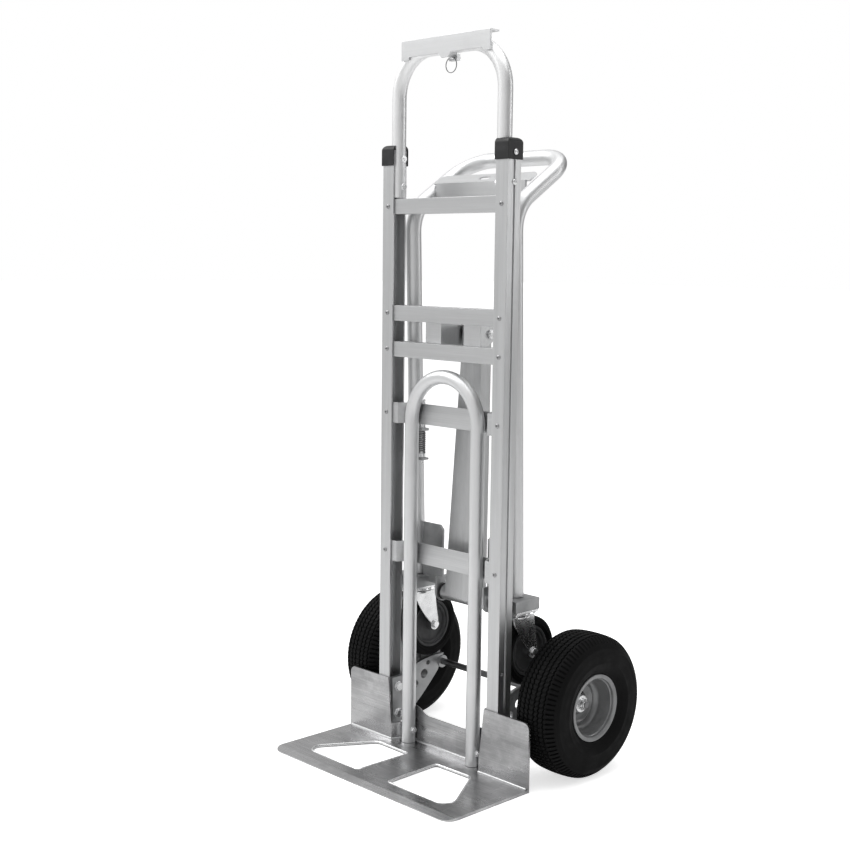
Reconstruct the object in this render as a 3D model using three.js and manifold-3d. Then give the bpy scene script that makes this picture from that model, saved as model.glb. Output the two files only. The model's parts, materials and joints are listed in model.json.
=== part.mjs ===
// Convertible two-wheel hand truck in aluminium, standing upright on its toe plate and wheels.
// Millimetres. +Z is up, +Y points to the back (wheels and casters), -Y to the toe plate.
// X = 0 is the plane of symmetry, Y = 0 the front face of the rails, Z = 0 the floor.
import * as THREE from 'three';
import { mergeGeometries, mergeVertices } from 'three/addons/utils/BufferGeometryUtils.js';
import Module from 'manifold-3d';

const wasm = await Module();
wasm.setup();

// ---------------------------------------------------------------- driving dimensions
const GAP = 0.3;                       // clearance between touching pieces
const OVER = 1;                        // how far a cutting tool reaches past the face it cuts
const SIDES = [['left', -1], ['right', 1]];
const FACETS = { wheel: 24, caster: 20, boss: 18, tube: 5, bend: 4 };   // how finely round things are cut

// rails: channel extrusions, open towards each other
const RAIL = { outer: 152.5, inner: 125.5, depth: 32, wall: 3, bottom: 6, top: 1090 };
const GROOVE = { width: 4, depth: 2.5, backing: 10 };
const RAIL_HOLE = { y: 8.5, z: 187.5, r: 2.4 };
const CAP = { bottom: 1063, top: 1099, skin: 2, round: 9 };

// straps across the rails
const STRAP_END = 145;
const CHANNEL_STRAPS = [[977, 1004], [786, 814], [721, 748.5]];
const BOWED_STRAPS = [[600, 637.5], [342.5, 381]];
const STRAP = { channelWall: 3, barWall: 3.5, joggleOuter: 113, joggleInner: 100 };

// top loop nested in the rails, and the angle bracket with its pull pin
const LOOP = { x: 129.5, y: 16, r: 12.7, wall: 2, bottom: 1006, top: 1261, bend: 80 };
const LOOP_BOLT = { heights: [1026, 1075], r: 3, headR: 5, head: 3, nutR: 6.5, nut: 4 };
const BRACKET = { halfWidth: 107.5, wall: 3, bottom: 1248, top: 1277, flange: 21.5, tab: 19, tabDrop: 5 };
const CENTRE_TAB = { halfTop: 15, halfBottom: 8, bottom: 1240 };
const PIN = { z: 1242, r: 3.5, front: 13.5, back: 38, eye: 17, eyeR: 2 };
const PIN_HOUSING = { half: 10, front: 20.5, back: 28.7, bottom: 1236.5 };
const RING = { r: 13, wire: 1.1 };

// bow tube in front of the lower half
const BOW = { x: 83.3, y: 11.5, r: 12.7, wall: 2, bottom: 5.4, springline: 608.7 };

// toe plate: one bent sheet with a base, two tall wings and a low wall between them
const TOE = { half: 228.5, front: -194, wall: 4, base: 5, corner: 24, wallY: 26.7, wingY: -2.3 };
const TOE_WALL = { low: 59, shoulder: 72, notch: 36, wing: 121, wingCorner: 12 };
const TOE_WALL_STEPS = { wing: 123, notch: [114, 104], shoulder: [97, 76], low: 44 };
const TOE_BEVEL = { run: 16, edge: 2 };
const TOE_OPENING = [[35, -32, 8], [121, -30, 12], [181, -130, 10], [168, -152, 10], [38, -152, 8]];

// wheels and axle
const AXLE = { y: 132.5, z: 127, r: 6, end: 241 };
const AXLE_NUT = { washerR: 15, washer: 2, r: 10, length: 9 };
const WHEEL = { x: 222, r: 127, halfWidth: 47.5, hubR: 18, hubInner: 54, hubOuter: 6 };
const RIM = { r: 59.5, wellR: 48, sheet: 3, halfWidth: 39, flange: 3, discStart: 4, discEnd: 1, dish: 2 };
const TYRE = { beadR: 51.3, bead: 33.5, shoulderR: 115, shoulder: 42, crown: 9, wallR: 94, rubber: 10 };
const AXLE_ARM = { inner: 117.5, outer: 125.2, bossR: 12, bossInner: 115.5, bossOuter: 166 };
const AXLE_ARM_HOLES = [[84, 112, 9], [62, 96, 7], [94, 132, 4.5]];
const FOOT_BOLT = { y: 16, heights: [50, 102], r: 4, headR: 8, headInner: 111 };

// brace: a tapered channel from the pivot behind the straps down to the handle frame
const PIVOT = { y: 93, z: 766 };
const LOWER_PIVOT = { y: 73, z: 286 };
const BRACE = { topHalf: 24, bottomHalf: 40, lowerSleeve: 53, sleeveR: 14, wall: 3, depth: 26 };
const PIVOT_R = 6;
const PIVOT_HEAD = { r: 9, height: 6 };
const BUSHING = { thickness: 3, upperR: 13, lowerR: 15.5 };
const PIVOT_ARM = { wall: 4, bottom: 735, top: 797, back: 108, flangeY: 29, flangeOuter: 68 };

// handle frame: two legs that lean back towards the foot, and a D-shaped grip
const HANDLE = { x: 124.6, r: 14, wall: 2.2, footY: 71.2, footZ: 311, kneeY: 49, kneeZ: 985 };
const GRIP = { y: 195, z: 1080, kneeBend: 70, cornerBend: 60 };
const CROSS_PLATE = { start: 64, length: 28, wall: 3, halfWidth: 118, lip: 22, lipHalf: 109 };
const SLOT = { halfLength: 13, r: 5 };

// caster mounts and casters
const MOUNT = { bottom: 290, top: 310, inner: 92, outer: 156, front: 38, back: 99 };
const GUSSET = { inner: 57, y: 68.5, wall: 5, bottom: 298, top: 410, shelf: 44, slope: 8 };
const EAR = { r: 18, top: 316 };
const CASTER = { x: 124.6, y: 69.5, trail: 27, axleZ: 210, r: 62.5, halfWidth: 16, coreR: 45 };
const CASTER_CORE = { hubR: 11, hubHalf: 17.5, webR: 34, webHalf: 6, rimHalf: 14 };
const CASTER_AXLE = { r: 4, headR: 7, head: 5 };
const CASTER_TOP = { plateHalfX: 31, plateHalfY: 28.5, plateBottom: 285.7, ringR: 28, ringBottom: 279 };
const FORK = { crownBottom: 274.4, wall: 3.5, inner: 18.5, headR: 27, tipR: 11, front: 22, back: 24 };

// spring plunger on the left leg of the handle frame
const PLUNGER = { x: -98, y: 52, r: 3.5, bottom: 522, top: 642, knobR: 6, knob: 10, collarR: 7 };
const PLUNGER_TABS = { lower: [530, 534], upper: [584, 589], half: 9, back: 16, above: 8, wall: 3 };
const SPRING = { inner: 4.5, outer: 7.2, bottom: 542.3, top: 583.7 };

// ---------------------------------------------------------------- materials
const paint = (color, roughness, metalness) =>
  new THREE.MeshStandardMaterial({ color, roughness, metalness });
const EXTRUDED = () => paint(0xc4c5c6, 0.42, 0.9);
const POLISHED = () => paint(0xd4d5d6, 0.25, 0.95);
const BRUSHED = () => paint(0xb4b5b6, 0.38, 0.95);
const CAST = () => paint(0xbcbdbe, 0.55, 0.8);
const ZINC = () => paint(0xc9cacc, 0.3, 0.95);
const BLACK_PLASTIC = () => paint(0x232426, 0.55, 0.0);
const RUBBER = () => paint(0x1b1b1c, 0.85, 0.0);
const GREY_RIM = () => paint(0x77797c, 0.45, 0.4);

// ---------------------------------------------------------------- solids from geometries
function solid(geometry) {
  const bare = geometry.index ? geometry.toNonIndexed() : geometry.clone();
  bare.deleteAttribute('normal');
  bare.deleteAttribute('uv');
  const merged = mergeVertices(bare, 1e-4);
  const mesh = new wasm.Mesh({
    numProp: 3,
    vertProperties: new Float32Array(merged.attributes.position.array),
    triVerts: new Uint32Array(merged.index.array),
  });
  return new wasm.Manifold(mesh);
}

function toGeometry(manifold) {
  const mesh = manifold.getMesh();
  const geometry = new THREE.BufferGeometry();
  geometry.setAttribute('position', new THREE.BufferAttribute(new Float32Array(mesh.vertProperties), 3));
  geometry.setIndex(new THREE.BufferAttribute(new Uint32Array(mesh.triVerts), 1));
  geometry.computeVertexNormals();
  return geometry;
}

const joined = (...parts) => parts.reduce((whole, part) => whole.add(part));
const cutBy = (body, ...tools) => tools.reduce((whole, tool) => whole.subtract(tool), body);

function block([x0, x1], [y0, y1], [z0, z1]) {
  const geometry = new THREE.BoxGeometry(Math.abs(x1 - x0), Math.abs(y1 - y0), Math.abs(z1 - z0));
  return solid(geometry.translate((x0 + x1) / 2, (y0 + y1) / 2, (z0 + z1) / 2));
}

// a round bar along X, Y or Z through `centre`, from `start` to `end` on that axis
function bar(axis, radius, start, end, centre, segments = 14) {
  const geometry = new THREE.CylinderGeometry(radius, radius, Math.abs(end - start), segments);
  if (axis === 'x') geometry.rotateZ(-Math.PI / 2);
  if (axis === 'z') geometry.rotateX(Math.PI / 2);
  const middle = new THREE.Vector3(...centre);
  middle[axis] = (start + end) / 2;
  return solid(geometry.translate(middle.x, middle.y, middle.z));
}

const polygon = (points) => new THREE.Shape(points.map(([a, b]) => new THREE.Vector2(a, b)));

function prism(shape, from, to, segments = 6) {
  const settings = { depth: to - from, bevelEnabled: false, curveSegments: segments };
  return new THREE.ExtrudeGeometry(shape, settings).translate(0, 0, from);
}

// an outline drawn in XY, and raised along Z
const prismZ = (shape, from, to, segments) => solid(prism(shape, from, to, segments));

// an outline drawn in XZ, and carried along Y
function prismY(shape, from, to, segments) {
  return solid(prism(shape, -to, -from, segments).rotateX(Math.PI / 2));
}

// an outline drawn in YZ, and carried along X
function prismX(shape, from, to, segments) {
  return solid(prism(shape, from, to, segments).rotateY(Math.PI / 2).rotateX(Math.PI / 2));
}

// a profile of [radius, height] points turned about the local Z axis, then laid along X
function turnedAboutX(profile, segments) {
  const points = [...profile, profile[0]].map(([radius, along]) => new THREE.Vector2(radius, along));
  return new THREE.LatheGeometry(points, segments).rotateZ(-Math.PI / 2);
}

function circleShape(radius, hole = 0) {
  const shape = new THREE.Shape().absarc(0, 0, radius, 0, 2 * Math.PI, false);
  if (hole > 0) shape.holes.push(new THREE.Path().absarc(0, 0, hole, 0, 2 * Math.PI, true));
  return shape;
}

// a polyline of corners whose inner corners are replaced by arcs
class BentPath extends THREE.Curve {
  constructor(corners, radii, stepsPerBend) {
    super();
    this.knots = [corners[0]];
    for (let i = 1; i < corners.length - 1; i += 1) {
      this.addBend(corners[i - 1], corners[i], corners[i + 1], radii[i - 1], stepsPerBend);
    }
    this.knots.push(corners[corners.length - 1]);
  }

  addBend(before, corner, after, radius, steps) {
    const arriving = corner.clone().sub(before).normalize();
    const leaving = after.clone().sub(corner).normalize();
    const turn = arriving.angleTo(leaving);
    const setback = radius * Math.tan(turn / 2);
    const start = corner.clone().addScaledVector(arriving, -setback);
    const inward = leaving.clone().addScaledVector(arriving, -leaving.dot(arriving)).normalize();
    for (let i = 0; i <= steps; i += 1) {
      const angle = (turn * i) / steps;
      const point = start.clone().addScaledVector(arriving, radius * Math.sin(angle));
      this.knots.push(point.addScaledVector(inward, radius * (1 - Math.cos(angle))));
    }
  }

  getPointAt(u, target = new THREE.Vector3()) {
    const place = u * (this.knots.length - 1);
    const index = Math.min(Math.floor(place + 1e-6), this.knots.length - 2);
    return target.lerpVectors(this.knots[index], this.knots[index + 1], place - index);
  }

  getPoint(t, target) {
    return this.getPointAt(t, target);
  }

  getTangentAt(u, target = new THREE.Vector3()) {
    const last = this.knots.length - 1;
    const index = Math.round(u * last);
    const before = this.knots[Math.max(index - 1, 0)];
    const here = this.knots[index];
    const after = this.knots[Math.min(index + 1, last)];
    const arriving = index > 0 ? here.clone().sub(before).normalize() : new THREE.Vector3();
    const leaving = index < last ? after.clone().sub(here).normalize() : new THREE.Vector3();
    return target.copy(arriving).add(leaving).normalize();
  }
}

function bentTube(corners, radii, radius, wall, stepsPerBend = FACETS.bend) {
  const points = corners.map(([x, y, z]) => new THREE.Vector3(x, y, z));
  const path = new BentPath(points, radii, stepsPerBend);
  const section = circleShape(radius, radius - wall);
  const settings = { extrudePath: path, steps: path.knots.length - 1, curveSegments: FACETS.tube };
  return solid(new THREE.ExtrudeGeometry(section, settings));
}

// a band of even thickness along a polyline in XY, drawn on one side and mirrored to the other
function mirroredBand(line, thickness) {
  const half = thickness / 2;
  const edge = (sign) => line.map(([x, y], i) => {
    const [x0, y0] = line[Math.max(i - 1, 0)];
    const [x1, y1] = line[Math.min(i + 1, line.length - 1)];
    const length = Math.hypot(x1 - x0, y1 - y0);
    return [x + (sign * half * (y0 - y1)) / length, y + (sign * half * (x1 - x0)) / length];
  });
  const [front, back] = [edge(-1), edge(1)];
  const mirrored = (points) => points.map(([x, y]) => [-x, y]);
  const outline = [mirrored(front).reverse(), front, [...back].reverse(), mirrored(back)];
  return polygon(outline.flat());
}

const truck = new THREE.Group();

function place(name, shape, material) {
  const geometry = shape instanceof THREE.BufferGeometry ? shape : toGeometry(shape);
  const mesh = new THREE.Mesh(geometry, material());
  mesh.name = name;
  truck.add(mesh);
}

// the same solid on the other side of X = 0
function mirroredTo(side, manifold) {
  return side > 0 ? manifold : manifold.mirror([1, 0, 0]);
}

// ---------------------------------------------------------------- main frame
function railSolid() {
  const { outer, inner, depth, wall } = RAIL;
  const middle = depth / 2;
  const grooveFloor = outer - GROOVE.depth;
  const web = outer - wall;
  const boss = web - wall;
  const outline = polygon([
    [inner, 0], [outer, 0],
    [outer, middle - GROOVE.width / 2], [grooveFloor, middle - GROOVE.width / 2],
    [grooveFloor, middle + GROOVE.width / 2], [outer, middle + GROOVE.width / 2],
    [outer, depth], [inner, depth], [inner, depth - wall], [web, depth - wall],
    [web, middle + GROOVE.backing / 2], [boss, middle + GROOVE.backing / 2],
    [boss, middle - GROOVE.backing / 2], [web, middle - GROOVE.backing / 2],
    [web, wall], [inner, wall],
  ]);
  const hole = bar('x', RAIL_HOLE.r, inner, outer + OVER, [0, RAIL_HOLE.y, RAIL_HOLE.z], 12);
  return cutBy(prismZ(outline, RAIL.bottom, RAIL.top), hole, ...loopBoltBores());
}

// bolt through a rail and the leg of the loop inside it; the upper one also holds the cap
function loopBolt(z) {
  const { r, headR, head, nutR, nut } = LOOP_BOLT;
  const centre = [0, LOOP.y, z];
  const tubeFace = LOOP.x - LOOP.r - 2 * GAP;
  const headStart = z > CAP.bottom ? RAIL.outer + CAP.skin + 2 * GAP : RAIL.outer + GAP;
  return joined(
    bar('x', r, tubeFace - nut, headStart + OVER, centre, 12),
    bar('x', nutR, tubeFace - nut, tubeFace, centre, 6),
    bar('x', headR, headStart, headStart + head, centre, 12));
}

function loopBoltBores() {
  const [start, end] = [LOOP.x - LOOP.r - LOOP_BOLT.nut, RAIL.outer + CAP.skin + OVER];
  return LOOP_BOLT.heights.map((z) => bar('x', LOOP_BOLT.r + GAP, start, end, [0, LOOP.y, z], 12));
}

// plastic cap over the top of a rail, open on its inner side for the loop tube
function railCap() {
  const { bottom, top, skin, round } = CAP;
  const [x0, x1] = [RAIL.inner - skin, RAIL.outer + GAP + skin];
  const [y0, y1] = [-GAP - skin, RAIL.depth + GAP + skin];
  const front = new THREE.Shape().moveTo(y0, bottom).lineTo(y1, bottom).lineTo(y1, top - round)
    .absarc(y1 - round, top - round, round, 0, Math.PI / 2, false)
    .absarc(y0 + round, top - round, round, Math.PI / 2, Math.PI, false);
  const side = new THREE.Shape().moveTo(x0, bottom).lineTo(x1, bottom).lineTo(x1, top - round)
    .absarc(x1 - round, top - round, round, 0, Math.PI / 2, false).lineTo(x0, top);
  const dome = prismX(front, x0, x1).intersect(prismY(side, y0, y1));
  const [under, above] = [bottom - OVER, top + OVER];
  const pocket = block([x0 - OVER, RAIL.outer + GAP], [-GAP, RAIL.depth + GAP], [under, RAIL.top + GAP]);
  const clear = LOOP.r + GAP;
  const tube = bar('z', clear, under, above, [LOOP.x, LOOP.y, 0]);
  const mouth = block([x0 - OVER, LOOP.x], [LOOP.y - clear, LOOP.y + clear], [under, above]);
  return cutBy(dome, pocket, tube, mouth, ...loopBoltBores());
}

// channel strap, its web to the front, nested between the flanges of the rails
function channelStrap([bottom, top]) {
  const [front, back] = [RAIL.wall + GAP, RAIL.depth - RAIL.wall - GAP];
  const wall = STRAP.channelWall;
  const outline = polygon([
    [front, bottom], [back, bottom], [back, bottom + wall], [front + wall, bottom + wall],
    [front + wall, top - wall], [back, top - wall], [back, top], [front, top],
  ]);
  return prismX(outline, -STRAP_END, STRAP_END);
}

// flat strap that steps back behind the bow tube
function bowedStrap([bottom, top]) {
  const wall = STRAP.barWall;
  const endY = RAIL.wall + GAP + wall / 2;
  const middleY = BOW.y + BOW.r + 2 * GAP + wall / 2;
  const line = [[STRAP.joggleInner, middleY], [STRAP.joggleOuter, endY], [STRAP_END, endY]];
  return prismZ(mirroredBand(line, wall), bottom, top);
}

function topLoop() {
  const { x, y, r, wall, bottom, top, bend } = LOOP;
  const corners = [[-x, y, bottom], [-x, y, top], [x, y, top], [x, y, bottom]];
  const bores = SIDES.flatMap(([, side]) => loopBoltBores().map((bore) => mirroredTo(side, bore)));
  return cutBy(bentTube(corners, [bend, bend], r, wall), ...bores);
}

// angle bracket over the loop: a front plate, a top flange, and short tabs below the plate
function topBracket() {
  const { halfWidth, wall, bottom, top, flange, tab, tabDrop } = BRACKET;
  const { halfTop, halfBottom } = CENTRE_TAB;
  const joint = bottom + OVER;
  const section = polygon([[0, bottom], [wall, bottom], [wall, top - wall], [flange, top - wall],
    [flange, top], [0, top]]);
  const tabs = SIDES.map(([, side]) =>
    mirroredTo(side, block([halfWidth - tab, halfWidth], [0, wall], [bottom - tabDrop, joint])));
  const middle = polygon([[-halfTop, joint], [-halfTop, bottom], [-halfBottom, CENTRE_TAB.bottom],
    [halfBottom, CENTRE_TAB.bottom], [halfTop, bottom], [halfTop, joint]]);
  return joined(prismX(section, -halfWidth, halfWidth), prismY(middle, 0, wall), ...tabs);
}

// block under the loop that guides the pin
function pinHousing() {
  const { half, front, back, bottom } = PIN_HOUSING;
  const body = block([-half, half], [front, back], [bottom, LOOP.top - LOOP.r - GAP]);
  return cutBy(body, bar('y', PIN.r + GAP, front - OVER, back + OVER, [0, 0, PIN.z]));
}

function pullPin() {
  const centre = [0, 0, PIN.z];
  const rod = bar('y', PIN.r, PIN.front, PIN.back, centre, 16);
  return cutBy(rod, bar('x', PIN.eyeR, -PIN.r - OVER, PIN.r + OVER, [0, PIN.eye, PIN.z], 10));
}

function pullRing() {
  const ring = new THREE.TorusGeometry(RING.r, RING.wire, 6, 20);
  return ring.rotateX(Math.PI / 2).translate(0, PIN.eye, PIN.z - RING.r);
}

function bowTube() {
  const { x, y, r, wall, bottom, springline } = BOW;
  const top = springline + x;
  const corners = [[-x, y, bottom], [-x, y, top], [x, y, top], [x, y, bottom]];
  return bentTube(corners, [x - 0.01, x - 0.01], r, wall, FACETS.bend + 2);
}

// ---------------------------------------------------------------- toe plate
// a closed outline through [x, y, r] corners, each rounded from r before it to r after it
function rounded(corners) {
  const shape = new THREE.Shape();
  corners.forEach(([x, y, r], i) => {
    const before = new THREE.Vector2(...corners[(i + corners.length - 1) % corners.length]);
    const after = new THREE.Vector2(...corners[(i + 1) % corners.length]);
    const here = new THREE.Vector2(x, y);
    const start = here.clone().add(before.sub(here).setLength(r));
    const end = here.clone().add(after.sub(here).setLength(r));
    if (i === 0) shape.moveTo(start.x, start.y);
    else shape.lineTo(start.x, start.y);
    shape.quadraticCurveTo(x, y, end.x, end.y);
  });
  return shape;
}

function toeOpening(side) {
  const corners = TOE_OPENING.map(([x, y, r]) => [side * x, y, r]);
  return prismZ(rounded(corners), -OVER, TOE.base + OVER, 3);
}

function toeBase() {
  const { half, front, wall, wallY, wingY, base, corner } = TOE;
  const [back, wingBack] = [wallY + wall / 2, wingY + wall / 2];
  const sharp = 0.5;
  const outline = rounded([
    [-half, front, corner], [half, front, corner], [half, wingBack, sharp],
    [STRAP.joggleOuter, wingBack, sharp], [STRAP.joggleInner, back, sharp],
    [-STRAP.joggleInner, back, sharp], [-STRAP.joggleOuter, wingBack, sharp], [-half, wingBack, sharp],
  ]);
  const { run, edge } = TOE_BEVEL;
  const nose = polygon([[front - OVER, edge], [front, edge], [front + run, base + 0.01],
    [front + run, base + OVER], [front - OVER, base + OVER]]);
  const bevel = prismX(nose, -half - OVER, half + OVER);
  return cutBy(prismZ(outline, 0, base, 4), bevel, ...SIDES.map(([, side]) => toeOpening(side)));
}

// the upright sheet: its plan follows wing, step and middle; its height dips between the wings
function toeWall() {
  const { half, wall, wallY, wingY } = TOE;
  const { low, shoulder, notch, wing, wingCorner } = TOE_WALL;
  const steps = TOE_WALL_STEPS;
  const plan = mirroredBand(
    [[STRAP.joggleInner, wallY], [STRAP.joggleOuter, wingY], [half, wingY]], wall);
  const height = (side) => {
    const shape = new THREE.Shape().moveTo(0, 0).lineTo(half, 0).lineTo(half, wing - wingCorner)
      .absarc(half - wingCorner, wing - wingCorner, wingCorner, 0, Math.PI / 2, false)
      .lineTo(steps.wing, wing).lineTo(steps.notch[0], notch).lineTo(steps.notch[1], notch)
      .lineTo(steps.shoulder[0], shoulder).lineTo(steps.shoulder[1], shoulder)
      .bezierCurveTo(steps.shoulder[1] - 10, shoulder, steps.low + 14, low, steps.low, low)
      .lineTo(0, low);
    return mirroredTo(side, prismY(shape, wingY - wall, wallY + wall));
  };
  return prismZ(plan, 0, wing).intersect(joined(height(1), height(-1)));
}

// ---------------------------------------------------------------- axle and wheels
function axleBracket() {
  const { inner, outer, bossR, bossInner, bossOuter } = AXLE_ARM;
  const axle = [0, AXLE.y, AXLE.z];
  const arm = new THREE.Shape().moveTo(3, 30).lineTo(30, 34).quadraticCurveTo(74, 62, 120, 112)
    .lineTo(136, 143).quadraticCurveTo(80, 146, 46, 128).lineTo(30, 120).lineTo(3, 120);
  const boss = bar('x', bossR, bossInner, bossOuter, axle, FACETS.boss);
  const body = joined(prismX(arm, inner, outer, 8), boss);
  const boltHoles = FOOT_BOLT.heights.map((z) => [FOOT_BOLT.y, z, FOOT_BOLT.r + GAP]);
  const holes = [...AXLE_ARM_HOLES, ...boltHoles].map(([y, z, r]) =>
    bar('x', r, inner - OVER, outer + OVER, [0, y, z]));
  return cutBy(body, bar('x', AXLE.r + GAP, bossInner - OVER, bossOuter + OVER, axle, 16), ...holes);
}

function footBolt(z) {
  const centre = [0, FOOT_BOLT.y, z];
  const head = bar('x', FOOT_BOLT.headR, FOOT_BOLT.headInner, AXLE_ARM.inner - GAP, centre, 6);
  return joined(head, bar('x', FOOT_BOLT.r, AXLE_ARM.inner - 2, STRAP_END, centre, 12));
}

function axleRod() {
  return bar('x', AXLE.r, -AXLE.end, AXLE.end, [0, AXLE.y, AXLE.z], 16);
}

function axleNut() {
  const centre = [0, AXLE.y, AXLE.z];
  const { washerR, washer, r, length } = AXLE_NUT;
  const start = WHEEL.x + WHEEL.hubOuter + GAP;
  const end = start + washer + length;
  const nut = joined(
    bar('x', washerR, start, start + washer, centre, 20),
    bar('x', r, start + washer / 2, end, centre, 6));
  return cutBy(nut, bar('x', AXLE.r + GAP, start - OVER, end + OVER, centre));
}

// pressed rim: two flanges, a well, a dished disc and the hub, as one turned section
function rim() {
  const { hubR, hubInner, hubOuter } = WHEEL;
  const { r, wellR, sheet, halfWidth, flange, discStart, discEnd, dish } = RIM;
  const bore = AXLE.r + GAP;
  const lip = halfWidth - flange;
  return turnedAboutX([
    [bore, -hubInner], [hubR, -hubInner], [hubR, -discStart - dish], [wellR, -discStart],
    [wellR, -lip], [r, -halfWidth], [r, -lip], [wellR + sheet, dish - lip],
    [wellR + sheet, lip - dish], [r, lip], [r, halfWidth], [wellR, lip],
    [wellR, discEnd], [hubR, -dish], [hubR, hubOuter], [bore, hubOuter],
  ], FACETS.wheel);
}

// pneumatic tyre: an open section whose beads sit on the rim
function tyre() {
  const { r, halfWidth } = WHEEL;
  const { beadR, bead, shoulderR, shoulder, crown, wallR, rubber } = TYRE;
  const outside = [[beadR, bead], [60, 35.6], [72, 44.5], [wallR, halfWidth],
    [shoulderR, shoulder], [r - 1.5, 3 * crown], [r, crown]];
  const inside = [[r - rubber - 3, 20], [wallR, halfWidth - rubber], [beadR, bead - rubber + 0.5]];
  const mirrored = (points) => points.map(([radius, along]) => [radius, -along]);
  return turnedAboutX([
    ...mirrored(outside), ...[...outside].reverse(), ...[...inside].reverse(), ...mirrored(inside),
  ], FACETS.wheel);
}

function addWheel(name, side) {
  const hub = [side * WHEEL.x, AXLE.y, AXLE.z];
  const towards = (geometry) => (side > 0 ? geometry : geometry.rotateZ(Math.PI)).translate(...hub);
  place(`${name}_tyre`, towards(tyre()), RUBBER);
  place(`${name}_rim`, towards(rim()), GREY_RIM);
  place(`${name}_axle_nut`, mirroredTo(side, axleNut()), ZINC);
}

// ---------------------------------------------------------------- brace and its pivots
function pivotArm() {
  const { wall, bottom, top, back, flangeY, flangeOuter } = PIVOT_ARM;
  const inner = BRACE.topHalf + BUSHING.thickness + 4 * GAP;
  const side = new THREE.Shape().moveTo(flangeY, bottom).lineTo(back - 20, bottom + 10)
    .absarc(back - 16, PIVOT.z, 16, -Math.PI / 2, Math.PI / 2, false).lineTo(flangeY, top);
  const arm = prismX(side, inner, inner + wall, 8);
  const flange = block([inner, flangeOuter], [flangeY, flangeY + wall], [bottom, top]);
  const bore = [0, PIVOT.y, PIVOT.z];
  return cutBy(joined(arm, flange), bar('x', PIVOT_R + GAP, inner - OVER, inner + wall + OVER, bore, 16));
}

function pivotBolt(centre, reach) {
  const heads = SIDES.map(([, side]) =>
    bar('x', PIVOT_HEAD.r, side * (reach + GAP), side * (reach + PIVOT_HEAD.height), centre, 6));
  return joined(bar('x', PIVOT_R, -reach - OVER, reach + OVER, centre, 16), ...heads);
}

function bushing(inner, radius, centre) {
  const start = inner + GAP;
  const end = start + BUSHING.thickness;
  const bore = bar('x', PIVOT_R + GAP, start - OVER, end + OVER, centre);
  return cutBy(bar('x', radius, start, end, centre, 20), bore);
}

// tapered channel with its web to the front and a sleeve across each end; the pivot is its origin
function braceSolid() {
  const { topHalf, bottomHalf, lowerSleeve, sleeveR, wall, depth } = BRACE;
  const length = Math.hypot(PIVOT.y - LOWER_PIVOT.y, PIVOT.z - LOWER_PIVOT.z);
  const taper = (inset, [y0, y1], [top, bottom]) => {
    const outline = polygon([[-topHalf + inset, top], [topHalf - inset, top],
      [topHalf - inset, -sleeveR], [bottomHalf - inset, bottom], [-bottomHalf + inset, bottom],
      [-topHalf + inset, -sleeveR]]);
    return prismY(outline, y0, y1);
  };
  const outside = taper(0, [-sleeveR, depth - sleeveR], [sleeveR, -length]);
  const inside = taper(wall, [wall - sleeveR, depth], [sleeveR + OVER, -length - OVER]);
  const ends = [[0, topHalf], [-length, lowerSleeve]];
  const sleeves = ends.map(([z, half]) => bar('x', sleeveR, -half, half, [0, 0, z], FACETS.boss));
  const bores = ends.map(([z, half]) => bar('x', PIVOT_R + GAP, -half - OVER, half + OVER, [0, 0, z]));
  return cutBy(joined(cutBy(outside, inside), ...sleeves), ...bores);
}

function addBrace() {
  const lean = (Math.atan2(PIVOT.y - LOWER_PIVOT.y, PIVOT.z - LOWER_PIVOT.z) * 180) / Math.PI;
  place('brace', braceSolid().rotate([-lean, 0, 0]).translate([0, PIVOT.y, PIVOT.z]), BRUSHED);
  const upper = [0, PIVOT.y, PIVOT.z];
  const lower = [0, LOWER_PIVOT.y, LOWER_PIVOT.z];
  for (const [name, side] of SIDES) {
    const upperRing = bushing(BRACE.topHalf, BUSHING.upperR, upper);
    const lowerRing = bushing(BRACE.lowerSleeve, BUSHING.lowerR, lower);
    place(`${name}_pivot_bracket`, mirroredTo(side, pivotArm()), EXTRUDED);
    place(`${name}_upper_bushing`, mirroredTo(side, upperRing), BLACK_PLASTIC);
    place(`${name}_lower_bushing`, mirroredTo(side, lowerRing), BLACK_PLASTIC);
  }
  const armOuter = BRACE.topHalf + BUSHING.thickness + 4 * GAP + PIVOT_ARM.wall;
  place('upper_pivot_bolt', pivotBolt(upper, armOuter), ZINC);
  place('lower_pivot_bolt', pivotBolt(lower, GUSSET.inner + GUSSET.wall), ZINC);
}

// ---------------------------------------------------------------- handle frame
function handleLoop() {
  const { x, r, wall, footY, footZ, kneeY, kneeZ } = HANDLE;
  const corners = [[-x, footY, footZ], [-x, kneeY, kneeZ], [-x, GRIP.y, GRIP.z],
    [x, GRIP.y, GRIP.z], [x, kneeY, kneeZ], [x, footY, footZ]];
  const radii = [GRIP.kneeBend, GRIP.cornerBend, GRIP.cornerBend, GRIP.kneeBend];
  return bentTube(corners, radii, r, wall);
}

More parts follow.
